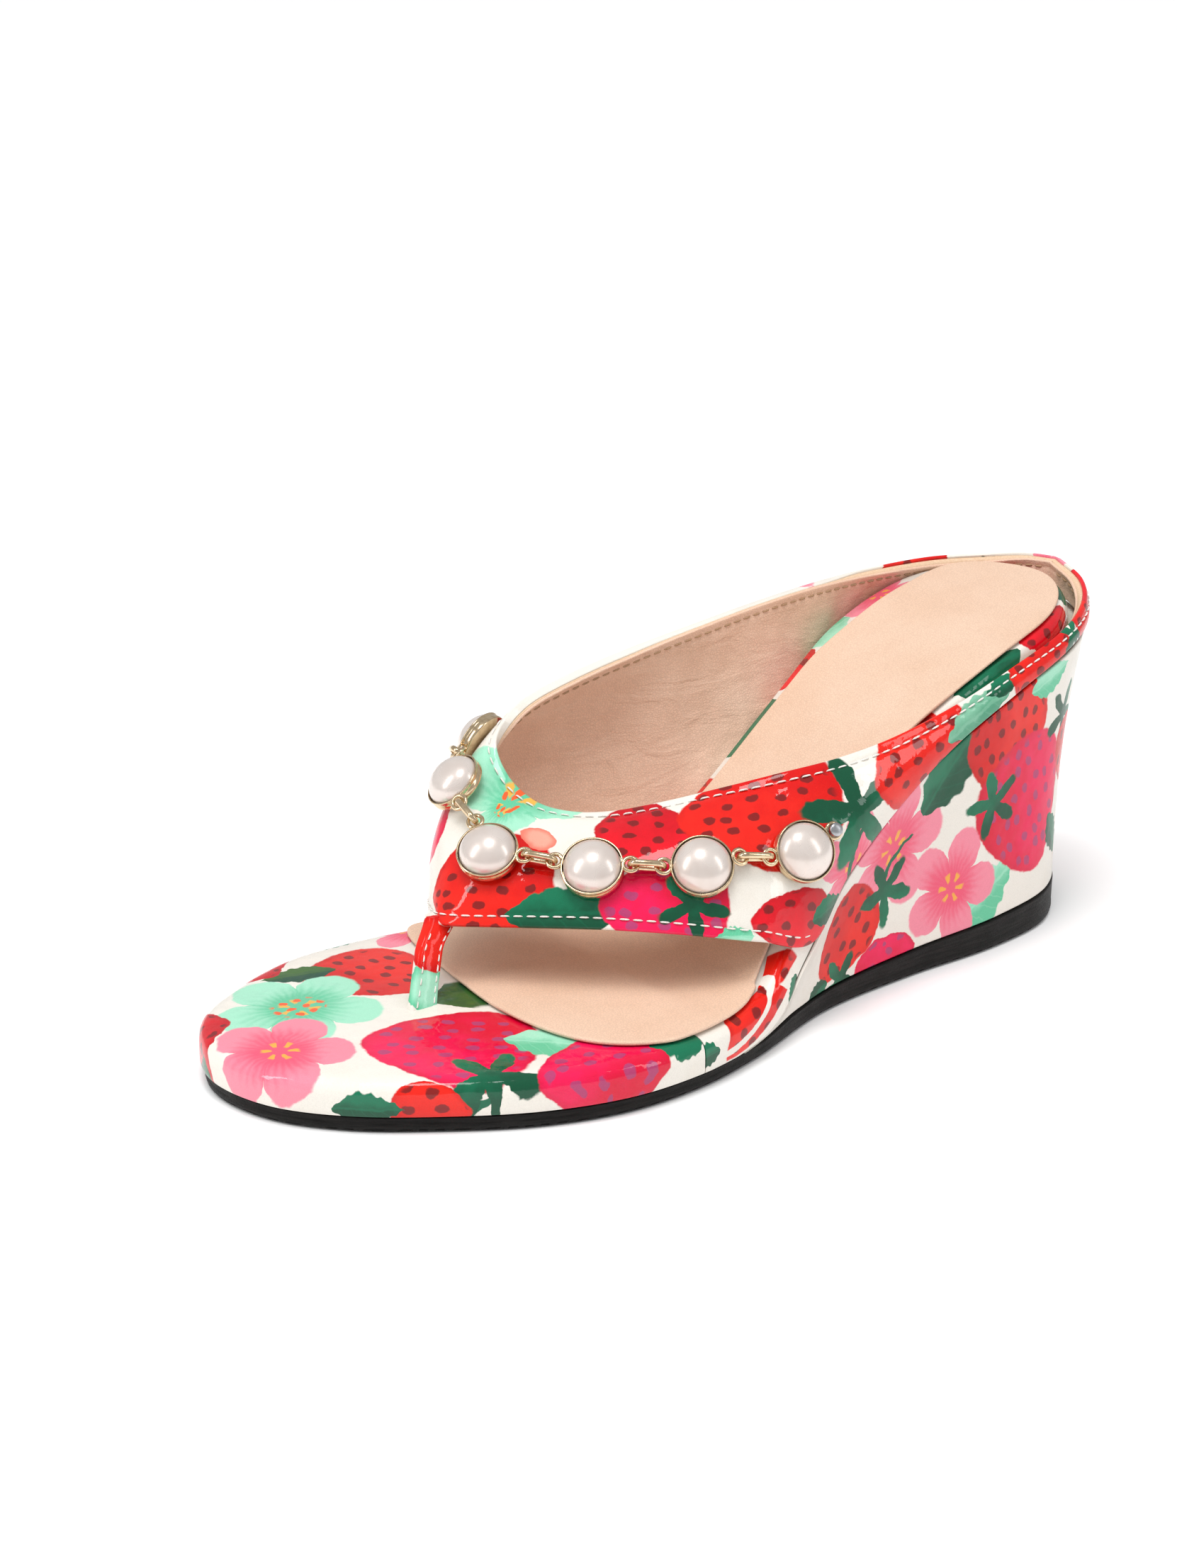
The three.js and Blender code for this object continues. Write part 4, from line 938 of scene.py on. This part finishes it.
def wedge_side(t, share, inset):
    """Points of the wedge's side: share runs from the outsole up to the footbed."""
    t, share, inset = np.broadcast_arrays(t, share, inset)
    low, high = plan_point(outsole_curve, t, inset), plan_point(footbed_curve, t, inset)
    lip = lip_drop(high[..., 0])
    floor_z = outsole_top(low[..., 0]) + GAP - lip
    roof_z = np.maximum(wedge_line(high[..., 0]) - GAP - lip, floor_z + 0.15)
    bottom, top = (np.concatenate([p, z[..., None]], -1) for p, z in ((low, floor_z), (high, roof_z)))
    point = bottom + (top - bottom) * share[..., None]
    hollow = WEDGE_HOLLOW * np.sin(np.pi * np.clip(share, 0, 1))
    hollow = hollow * (1 - smooth(point[..., 0], 70, WEDGE_FRONT))
    point[..., :2] += inward(footbed_curve, t) * hollow[..., None]
    return point


def build_wedge():
    ts = np.linspace(edge_share(WEDGE_REACH, True), edge_share(WEDGE_REACH, False), 680)
    ts = spread(ts, footbed_curve)[:, None]
    height = np.maximum(wedge_side(ts, 1.0, 0.0)[..., 2] - wedge_side(ts, 0.0, 0.0)[..., 2], 1.0)
    mm, depth = rim_rows(0.6, 6)
    end = np.minimum(mm / height, 0.2)
    middle = end[:, -1:] + (1 - 2 * end[:, -1:]) * np.linspace(0, 1, 58)[1:-1]
    share = np.concatenate([end, middle, 1 - end[:, ::-1]], 1)
    outer = wedge_side(ts, share, np.concatenate([depth, np.zeros(middle.shape[1]), depth[::-1]]))
    ripple = 0.16 * waves(outer, 34, 3) + 0.05 * waves(outer, 13, 4)
    calm = smooth(share, 0.0, 0.2) * (1 - smooth(share, 0.85, 1.0))
    outer[..., :2] += inward(footbed_curve, ts) * (0.18 + ripple * calm)[..., None]
    return emit("wedge_cover_fine", *shell(outer, wedge_side(ts, share, COVER)), angle=50)


wedge = build_wedge()
patent("print_wedge", WEDGE_PRINT, wedge, 0.42, parts=quarters(42))
settle(wedge, "printed_patent", "wedge_cover")

# ------------------------------------------------------------------ toe cover and rands

SECTION = [  # inset from the footbed's edge and height over the wedge line
    (0.55, 0.05), (0.2, 0.12), (0.03, 0.4), (0.0, 0.9), (0.0, 1.8), (0.0, 2.6), (0.06, 3.6), (0.2, 4.5),
    (0.55, 5.35), (1.1, 6.03), (1.9, 6.52), (2.9, 6.85), (4.2, 7.03), (6.0, 7.15),
]


def cover_point(t, inset, height):
    p = plan_point(footbed_curve, t, inset)
    return over_wedge(p, height - (lip_drop(p[..., 0]) - 0.05) * max(0, 1 - height / 2.6))


def build_toe_cover():
    ts = np.linspace(edge_share(TOE_COVER_BACK, False) - 1, edge_share(TOE_COVER_BACK, True), 560)
    ts = spread(ts, footbed_curve)
    outer = [cover_point(ts, inset, height) for inset, height in SECTION]
    inner = [cover_point(ts, max(inset, COVER), min(height, 5.6)) for inset, height in SECTION]
    shoulder_inset, shoulder = SECTION[-1]
    start = plan_point(footbed_curve, ts, shoulder_inset)
    spine = spine_point(np.clip(start[:, 0], TOE_COVER_BACK + 0.5, 214.0))
    for share in np.linspace(0, 1, 30)[1:]:
        p = start + (spine - start) * share
        rise = shoulder + (TOE_TOP + TOE_CROWN - shoulder) * math.sin(share * math.pi / 2)
        outer.append(over_wedge(p, rise))
        inner.append(over_wedge(p, rise - COVER))
    outer, number = np.stack(outer, 1), np.arange(len(outer))
    swell = 0.12 * waves(outer, 30, 11) + 0.05 * waves(outer, 11, 12)
    outer[..., 2] += swell * smooth(number, 2, 7) * (1 - smooth(number, 36, 43))
    return emit("toe_cover_fine", *shell(outer, np.stack(inner, 1)), angle=50)


toe = build_toe_cover()
patent("print_toe", TOE_PRINT, toe, parts=quarters(200))
settle(toe, "printed_patent", "toe_cover")


def build_rand(name, start, end):
    ts = spread(np.linspace(start, end, 240), footbed_curve)
    rows, number = SECTION[:-1], np.arange(len(SECTION) - 1)
    tuck = 2.2 * (1 - smooth(footbed_curve(ts)[:, 0], RAND_FRONT - 4, RAND_FRONT + 5))
    outer = np.stack([cover_point(ts, inset + 0.02 + tuck, height) for inset, height in rows], 1)
    inner = np.stack([cover_point(ts, max(inset, COVER), min(height, 5.8)) for inset, height in rows], 1)
    fold = 0.14 * waves(outer, 15, 21) * smooth(number, 1, 5) * (1 - smooth(number, 10, 12))
    outer[..., :2] += inward(footbed_curve, ts)[:, None] * fold[..., None] + 0.02
    return emit(name, *shell(outer, inner), angle=50)


FRONT_SHARES = {outer: edge_share(TOE_COVER_BACK - GAP, outer) for outer in (True, False)}
rand_outer = build_rand("rand_outer_fine", FRONT_SHARES[True], edge_share(RAND_FRONT - 11, True))
rand_inner = build_rand("rand_inner_fine", edge_share(RAND_FRONT - 9, False), FRONT_SHARES[False])
patent("print_rand", RAND_PRINT, rand_outer, ragged=0.35)
patent("print_rand_inner", RAND_PRINT, rand_inner, ragged=0.35)
settle(rand_outer, "printed_accent", "rand_outer")
settle(rand_inner, "printed_accent", "rand_inner")

# ------------------------------------------------------------------ footbed cover and insock

FOOTBED_RIM = [  # inset and height inside the upper, then ahead of it, and how much lower under the toe cover
    (WALL_INSET, 2.6, WRAP_INSET, 2.6, 0), (WALL_INSET, 4.0, WRAP_INSET, 4.0, 0),
    (WALL_INSET + 0.25, 5.2, WRAP_INSET + 1.2, 4.4, 0), (WALL_INSET + 0.7, 6.2, 3.0, 5.4, 0.6),
    (WALL_INSET + WALL_LEAN, FOAM_TOP, 4.0, FOAM_TOP, 1.3), (14.0, FOAM_TOP, 14.0, FOAM_TOP, 0.5),
]


def wrapped(x):
    """0 where the upper stands on the footbed's edge, 1 ahead of it."""
    return smooth(x, 108, 120)


def under_cover(x):
    return smooth(x, TOE_COVER_BACK - 10, TOE_COVER_BACK - 4)


def build_footbed():
    """The printed cover over the foam, seen as a margin round the insock."""
    ts = spread(np.linspace(0, 1, 481), footbed_curve)[:-1]
    x = footbed_curve(ts)[:, 0]
    rings = []
    for inset, height, front_inset, front_height, drop in FOOTBED_RIM:
        p = plan_point(footbed_curve, ts, inset + (front_inset - inset) * wrapped(x))
        rings.append(over_wedge(p, height + (front_height - height) * wrapped(x) - drop * under_cover(x)))
    return emit("footbed_cover", *plate(np.array(rings)))


footbed = build_footbed()
patent("print_footbed", BAND_PRINT, footbed)
settle(footbed, "footbed_foam", "footbed_foam")


def sock_outline():
    """The insock's outline as plan points: the inset footbed edge, cut by the front curve."""
    ts = spread(np.linspace(0, 1, 1601), footbed_curve)[:-1]
    x = footbed_curve(ts)[:, 0]
    share = wrapped(x)
    inner_side = smooth(ts, 0.49, 0.51) * (1 - smooth(ts, 0.99, 1.0))
    margin = 5.0 * smooth(x, 0, 22) * (1 - 0.5 * smooth(x, 45, 65)) * inner_side
    inset = (WALL_INSET + WALL_LEAN + 0.4 + margin) * (1 - share) + (5.0 - 2.5 * smooth(x, 120, 132)) * share
    ring = plan_point(footbed_curve, ts, inset)
    front = open_curve(SOCK_FRONT)(np.linspace(0, 1, 800))
    inside = ring[:, 0] < np.interp(ring[:, 1], front[:, 1], front[:, 0])
    start = np.argmax(inside & ~np.roll(inside, 1))
    body = np.roll(ring, -start, axis=0)[np.roll(inside, -start)]
    low, high = sorted((body[0, 1], body[-1, 1]))
    cut = front[(front[:, 1] > low) & (front[:, 1] < high)]
    if np.linalg.norm(cut[0] - body[-1]) > np.linalg.norm(cut[-1] - body[-1]):
        cut = cut[::-1]
    closed = np.vstack([body, cut, body[:1]])
    run = distance_along(closed)
    even = np.linspace(0, run[-1], 720, endpoint=False)
    loop = np.column_stack([np.interp(even, run, closed[:, k]) for k in (0, 1)])
    for _ in range(30):
        loop = (np.roll(loop, 1, 0) + 2 * loop + np.roll(loop, -1, 0)) / 4
    return loop


def sock_height(p, rim):
    """Height of the insock's underside over the wedge line; rim is 1 at its edge."""
    x, y = p[:, 0], p[:, 1]
    half = np.interp(x, [0, 30, 75, 100, 150, 200], [14, 28, 26, 26, 40, 34])
    share = np.clip(1 - ((y - spine_point(x)[:, 1]) / half) ** 2, 0, 1)
    return FOAM_TOP + GAP + 0.4 + under_cover(x) * (0.1 + (TOE_CROWN - 0.2) * share - 0.15 * rim)


def build_sock():
    loop = sock_outline()
    tangent = unit(np.roll(loop, -1, 0) - np.roll(loop, 1, 0))
    inner = np.stack([-tangent[:, 1], tangent[:, 0]], -1)
    r = SOCK / 2
    spine = spine_point(np.clip(loop[:, 0], 26.0, 140.0))
    rings = [over_wedge(spine, sock_height(spine, 0.0))]
    for a in np.radians([-90, -65, -40, -15, 10, 35, 60, 90]):
        p = loop + inner * (r - r * math.cos(a))
        rings.append(over_wedge(p, sock_height(p, 1.0) + r + r * math.sin(a)))
    start = loop + inner * r
    for share in np.linspace(0, 1, 64)[1:]:
        p = start + (spine - start) * share
        top = over_wedge(p, sock_height(p, 1 - min(share * 8, 1)) + SOCK)
        top[:, 2] += (0.1 * waves(top, 45, 31) + 0.05 * waves(top, 17, 32)) * smooth(share, 0.0, 0.25)
        rings.append(top)
    points, faces = loft(np.array(rings))
    piece = emit("sock_fine", points, faces[:-2], SOCK_LEATHER)
    weld(piece, 2e-5)
    return piece


settle(build_sock(), "lining_leather", "sock_lining")

# ------------------------------------------------------------------ upper and lining


def shell_back(row):
    """Depth of the upper's back face: the counter lies behind it round the heel."""
    ahead = smooth(np.minimum(row, LAST_ROW - row), COUNTER_ROW, COUNTER_ROW + 0.8)
    return UPPER + (COUNTER + GAP) * ahead


def wall_grid(columns, count, rim, low_off=0.0, high_off=0.0):
    """Rows, shares up, rim depths, and mm from the lower and the top edge, over the whole wall."""
    rows = even_rows(columns)[:, None]
    height = wall_height(rows)
    mm, depth = rim_rows(rim, 7)
    top, start = height - high_off, low_off + rim
    middle = start + (top - rim - start) * np.linspace(0, 1, count + 2)[1:-1]
    mm = np.concatenate([np.tile(low_off + mm, (columns, 1)), middle, top - mm[::-1]], 1)
    depth = np.concatenate([depth, np.zeros(count), depth[::-1]])
    return rows, np.clip(mm / height, 0, 1), depth, mm, height - mm


def build_upper():
    rows, share, depth, mm, from_top = wall_grid(700, 56, 0.55)
    # the seam near the edge pulls the leather down and leaves a soft roll outside it
    vamp = smooth(rows, 8.4, 9.2) * (1 - smooth(rows, 19.0, 19.8))
    pull = 0.28 * (bell(from_top - STITCH_IN, 0.7) + bell(mm - STITCH_IN, 0.7) * vamp)
    face = upper_face(rows, share)
    # soft folds where the vamp bends to the wedge on either side
    crease = (bell(rows - 8.3, 0.35) + bell(rows - 19.2, 0.35)) * smooth(share, 0.55, 0.1)
    ripple = 0.2 * waves(face, 30, 41) + 0.02 * waves(face, 12, 42) - 0.35 * crease * np.sin(rows * 9)
    ripple = 0.8 * ripple * smooth(mm, 0, 4) * smooth(from_top, 0, 3)
    seam = 0.35 * bell(np.minimum(rows, LAST_ROW - rows), 0.06)
    outer = upper_at(rows, share, depth + pull + seam - ripple)
    inner = upper_at(rows, share, np.maximum(shell_back(rows) - depth * 0.6, 0.9))
    return emit("upper_fine", *shell(outer[:-1], inner[:-1], wrap=True), angle=50)


upper = build_upper()
patent("print_upper", UPPER_PRINT, upper, parts=quarters(85))
settle(upper, "printed_patent", "upper_shell")


def build_lining():
    rows, share, depth, mm, from_top = wall_grid(560, 50, 0.38, 0.2, 0.25)
    face = upper_face(rows, share)
    wrinkle = 0.22 * waves(face * (1.0, 1.0, 0.4), 15, 51) + 0.12 * waves(face, 7, 52)
    wrinkle = wrinkle * smooth(mm, 0, 5) * smooth(from_top, 1, 6)
    pull = 0.15 * bell(from_top - STITCH_IN, 0.7) + 0.3 * bell(np.minimum(rows, LAST_ROW - rows), 0.05)
    outer = upper_at(rows, share, LINING_DEPTH + depth * 0.9)
    inner = LINING_DEPTH + np.maximum(LINING - depth + wrinkle - pull, 0.15)
    inner = upper_at(rows, share, inner)
    return emit("lining_fine", *shell(outer[:-1], inner[:-1], wrap=True), LINING_LEATHER)


settle(build_lining(), "lining_leather", "upper_lining", "heel_counter")


def build_edge_binding():
    """The folded lining edge seen as a fine golden line along the topline."""
    rows = even_rows(560)
    height, back = wall_height(rows), shell_back(rows)
    middle = (back + LINING_DEPTH + 0.2) / 2
    half = np.maximum((LINING_DEPTH + 0.25 - back) / 2, 0.3)
    rings = []
    for a in round_angles(10):
        rings.append(upper_at(rows, 1 - (0.62 - 0.42 * math.sin(a)) / height, middle + half * math.cos(a)))
    piece = emit("edge_binding", *loft(np.stack(rings, 1)[:-1], True), CUT_EDGE)
    weld(piece, 1e-6)
    return piece


settle(build_edge_binding(), "lining_leather")

# ------------------------------------------------------------------ stitches


def stitch_line(name, path, normals, material, pitch=3.0, length=2.35, radius=0.21):
    """Separate thread stitches along a path, each bowed into the leather at its ends."""
    run = distance_along(path)
    count = int(run[-1] / pitch)
    w, a = np.linspace(-1, 1, 9)[:, None], round_angles(8)[:, None]
    thickness = radius * np.sqrt(np.maximum(1 - w**6, 0.03))
    parts = []
    for k in range(count):
        s = (k + 0.15) * run[-1] / count + np.linspace(0, length, 9)
        p, out = (np.stack([np.interp(s, run, q[:, c]) for c in range(3)], 1) for q in (path, normals))
        out = unit(out)
        p = p + out * (0.14 - 0.5 * w**6)
        tangent = unit(np.gradient(p, axis=0))
        side = np.cross(tangent, out)
        lift = np.cross(side, tangent)
        rim = np.cos(a) * side[:, None] + np.sin(a) * lift[:, None]
        parts.append(loft((p[:, None] + thickness[..., None] * rim)[:, ::-1]))
    return emit(name, *merge(parts), material)


def upper_path(rows, depth, lower=False):
    """A path along the top edge or the lower edge of the upper, and its normals."""
    share = STITCH_IN / wall_height(rows)
    share = share if lower else 1 - share
    return upper_at(rows, share, depth), upper_normal(rows, share)


rows = np.linspace(0.25, LAST_ROW - 0.25, 1600)
settle(stitch_line("stitches_topline", *upper_path(rows, 0.1), WHITE_THREAD), "printed_patent")
path, normals = upper_path(rows, LINING_DEPTH + LINING - 0.12)
settle(stitch_line("stitches_lining", path, -normals, TAN_THREAD, radius=0.25), "lining_leather")
path = upper_path(np.linspace(8.04, 19.6, 920), 0.1, lower=True)
settle(stitch_line("stitches_vamp", *path, WHITE_THREAD), "printed_patent")

# ------------------------------------------------------------------ toe post

STRAP_SEAM = 1.3  # stitches from the strap's edge


def build_strap():
    """The strap, and its middle line, half width and half thickness along it."""
    s = np.linspace(0, 1, 60)
    middle = POST_FOOT + (POST_TOP - POST_FOOT) * 1.17 * s[:, None]
    middle[:, 0] -= 2.6 * smooth(s, 0.72, 1.0)
    width = 3.4 + 0.9 * smooth(s, 0.7, 1.0) + 0.3 * (1 - smooth(s, 0.25, 0.45))
    thick = 1.4 + 0.25 * smooth(s, 0.8, 1.0)
    a = round_angles(48)
    x = width[:, None] * np.sign(np.cos(a)) * np.abs(np.cos(a)) ** 0.35
    y = thick[:, None] * np.sign(np.sin(a)) * np.abs(np.sin(a)) ** 0.55
    y -= np.sign(y) * 0.16 * bell(np.abs(x) - (width[:, None] - STRAP_SEAM), 0.4)
    rings = middle[:, None] + np.stack([x, y, np.zeros_like(x)], -1)
    rings[..., 1] += 0.05 * waves(rings, 8, 61)
    return emit("strap_fine", *loft(rings), angle=50), middle, width, thick


strap, strap_middle, strap_width, strap_thick = build_strap()
patent("print_strap", STRAP_PRINT, strap, 0.5)
settle(strap, "printed_patent", "toe_post_strap", "toe_post_core")
sewn = slice(18, 54)
for label, sign in (("outer", 1.0), ("inner", -1.0)):
    for edge, along in (("front", 1.0), ("back", -1.0)):
        p = strap_middle[sewn].copy()
        p[:, 0] += along * (strap_width[sewn] - STRAP_SEAM)
        p[:, 1] += sign * (strap_thick[sewn] - 0.12)
        across = np.tile((0.0, sign, 0.0), (len(p), 1))
        line = stitch_line(f"stitches_strap_{label}_{edge}", p, across, WHITE_THREAD, 2.4, 1.8, 0.2)
        settle(line, "printed_patent")

# ------------------------------------------------------------------ pearls, cups, links

seats = [{"middle": upper_face(row, up), "up": upper_normal(row, up)} for row, up in PEARL_PLACES]
ends = [upper_face(PEARL_PLACES[k][0] + step, PEARL_PLACES[k][1]) for k, step in ((0, -0.8), (-1, 0.8))]
stops = [ends[0], *(seat["middle"] for seat in seats), ends[1]]


def flat_direction(seat, target):
    d = target - seat["middle"]
    return unit(d - seat["up"] * (d @ seat["up"]))


for k, seat in enumerate(seats):
    seat["ways"] = [flat_direction(seat, stops[k]), flat_direction(seat, stops[k + 2])]
    seat["eyes"] = [seat["middle"] + way * EYELET_REACH + seat["up"] * EYELET_RISE for way in seat["ways"]]
for seat in seats:
    seat["lines"] = list(seat["ways"])
for seat, following in zip(seats, seats[1:]):
    line = unit(following["eyes"][0] - seat["eyes"][1])
    seat["lines"][1], following["lines"][0] = line, -line

BEZEL = (
    [(0.0, -0.55), (3.0, -0.6), (5.6, -0.5), (6.5, -0.2)]
    + arc(0.45, 0.45, -60, 0, 5, 6.75, 0.35)
    + [(7.2, 0.9), (7.12, 1.3), (7.0, 1.55), (7.0, 1.75), (7.12, 1.95)]
    + arc(0.25, 0.25, -30, 110, 7, 6.95, 2.3)
    + [(6.84, 2.42), (6.78, 2.2), (6.76, 1.7), (6.7, 0.9), (0.0, 0.85)]
)
PEARL_SHAPE = (
    [(0.0, 1.0), (6.4, 1.0), (6.55, 1.15)]
    + arc(PEARL_RADIUS, PEARL_RISE - 0.4, 0, 90, 28, z=1.5)[:-1]
    + [(0.0, 1.1 + PEARL_RISE)]
)
RIVET = (
    [(0.0, -1.5), (0.85, -1.5), (0.85, RIVET_HEAD - 0.1), (1.5, RIVET_HEAD - 0.1)]
    + arc(1.6, 0.7, 0, 90, 14, z=RIVET_HEAD + 0.1)[:-1]
    + [(0.0, RIVET_HEAD + 0.8)]
)


def eyelet(seat, side):
    across = seat["lines"][side]
    along = unit(np.cross(seat["up"], across))
    a = round_angles(36)[:, None]
    ring = (EYELET_HOLE + WIRE - 0.2) * (np.cos(a) * across + np.sin(a) * along)
    return wire(seat["eyes"][side] - seat["ways"][side] * 0.2 + ring, np.cross(across, along), WIRE, 14, 0.85)


for k, seat in enumerate(seats, 1):
    place = (seat["middle"] + seat["up"] * CUP_LIFT, seat["up"], seat["ways"][1])
    cup = merge([turned(BEZEL, 96, place), eyelet(seat, 0), eyelet(seat, 1)])
    settle(emit(f"cup_{k}_fine", *cup, GOLD, 35), "gold", f"cup_{k}")
    settle(emit(f"pearl_{k}_fine", *turned(PEARL_SHAPE, 96, place), PEARL), "pearl", f"pearl_{k}")

for k, (seat, following) in enumerate(zip(seats, seats[1:]), 1):
    start, end = seat["eyes"][1], following["eyes"][0]
    axis = unit(end - start)
    up = seat["up"] + following["up"]
    up = unit(up - axis * (up @ axis))
    path = []
    for centre, sign in ((end, -1), (start, 1)):
        for a in np.linspace(0, math.pi, 12) + sign * math.pi / 2:
            out = LINK_HALF_HEIGHT * math.cos(a) + sign * (LINK_HALF_HEIGHT - 0.35)
            path.append(centre + axis * out + up * LINK_HALF_HEIGHT * math.sin(a) * 0.94)
    link = wire(np.array(path), np.cross(axis, up), WIRE + 0.1, 18, 1.25)
    settle(emit(f"link_{k}_fine", *link, GOLD), "gold", f"link_{k}", body=f"link_{k}")

for i, (seat, side) in enumerate(((seats[0], 0), (seats[-1], 1)), 1):
    foot = seat["eyes"][side] - seat["up"] * EYELET_RISE
    rivet = turned(RIVET, 40, (foot, seat["up"], seat["ways"][side]))
    settle(emit(f"end_rivet_{i}_fine", *rivet, STEEL, 50), "gold", f"end_rivet_{i}")

# ------------------------------------------------------------------ frame pieces that stay

KEPT = {"wedge_core": EVA, "insole_board": BOARD, "shank": STEEL}
KEPT.update({f"shank_rivet_{k}": STEEL for k in (1, 2)})
KEPT.update({f"heel_nail_{k}": STEEL for k in (1, 2, 3, 4)})
for node, material in KEPT.items():
    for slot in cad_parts[node].material_slots:
        slot.material = material

# ------------------------------------------------------------------ stage, lights, camera

scene = bpy.context.scene
n = Material("studio_white")
white = n.mix((1.0, 1.0, 1.0), (0.985, 0.985, 0.985), n.noise(0.004))
n.shade(Base_Color=white, Roughness=0.8, Specular_IOR_Level=0.1)
floor_mesh = bpy.data.meshes.new("floor")
floor_mesh.from_pydata([(-6, -6, 0), (6, -6, 0), (6, 6, 0), (-6, 6, 0)], [], [(0, 1, 2, 3)])
floor_mesh.materials.append(n.material)
floor = bpy.data.objects.new("floor", floor_mesh)
floor.location.z = -0.0002
scene.collection.objects.link(floor)

# The camera sees a white backdrop past the floor's edge; the light of the room is dimmer.
world = bpy.data.worlds.new("studio")
scene.world = world
world.use_nodes = True
n = Nodes(world.node_tree)
glow = n.add("MapRange", {"Value": n.add("LightPath", {}, "Is Camera Ray"), "To Min": 0.48, "To Max": 1.0})
n.put(world.node_tree.nodes["Background"].inputs["Color"], (1.0, 1.0, 1.0))
n.put(world.node_tree.nodes["Background"].inputs["Strength"], glow)


def place_lamp(name, kind, place, back, energy, **settings):
    """A lamp whose back points along back."""
    data = bpy.data.lights.new(name, kind)
    data.energy = energy
    for key, value in settings.items():
        setattr(data, key, value)
    lamp = bpy.data.objects.new(name, data)
    lamp.location = place
    lamp.rotation_euler = back.to_track_quat("Z", "Y").to_euler()
    scene.collection.objects.link(lamp)
    return lamp


def area_light(name, away, width, height, energy):
    place_lamp(name, "AREA", TARGET + away, away, energy, shape="RECTANGLE", size=width, size_y=height)


AZIMUTH, ELEVATION = math.radians(143.101), math.radians(19.334)
LEVEL = math.cos(ELEVATION)
BACK = Vector((math.sin(AZIMUTH) * LEVEL, -math.cos(AZIMUTH) * LEVEL, math.sin(ELEVATION)))
UP = Vector((0, 0, 1))
RIGHT = UP.cross(BACK).normalized()
ABOVE = (UP + BACK * 0.35 - RIGHT * 0.1).normalized()
TARGET = Vector((np.array((115.938, -36.702, 40.0)) + SHIFT) / 1000)

sun = place_lamp("soft_sun", "SUN", (0, 0, 0), ABOVE, 1.85, angle=math.radians(50))
sun.visible_glossy = False  # the softbox below gives the highlights
area_light("softbox", ABOVE * 1.2, 0.34, 0.34, 3.0)
area_light("strip_left", BACK * 0.5 - RIGHT * 0.9 + UP * 0.5, 0.14, 0.8, 3.0)
area_light("strip_right", BACK * 0.45 + RIGHT * 0.9 + UP * 0.45, 0.14, 0.8, 1.4)

camera_data = bpy.data.cameras.new("camera")
camera_data.sensor_fit = "VERTICAL"
camera_data.sensor_height, camera_data.sensor_width = 36.0, 27.0
camera_data.lens = 65.2625
camera_data.clip_start = 0.01
camera = bpy.data.objects.new("camera", camera_data)
camera.location = TARGET + BACK * 0.701025
camera.rotation_euler = BACK.to_track_quat("Z", "Y").to_euler()
scene.collection.objects.link(camera)
scene.camera = camera
scene.view_settings.view_transform = "Standard"
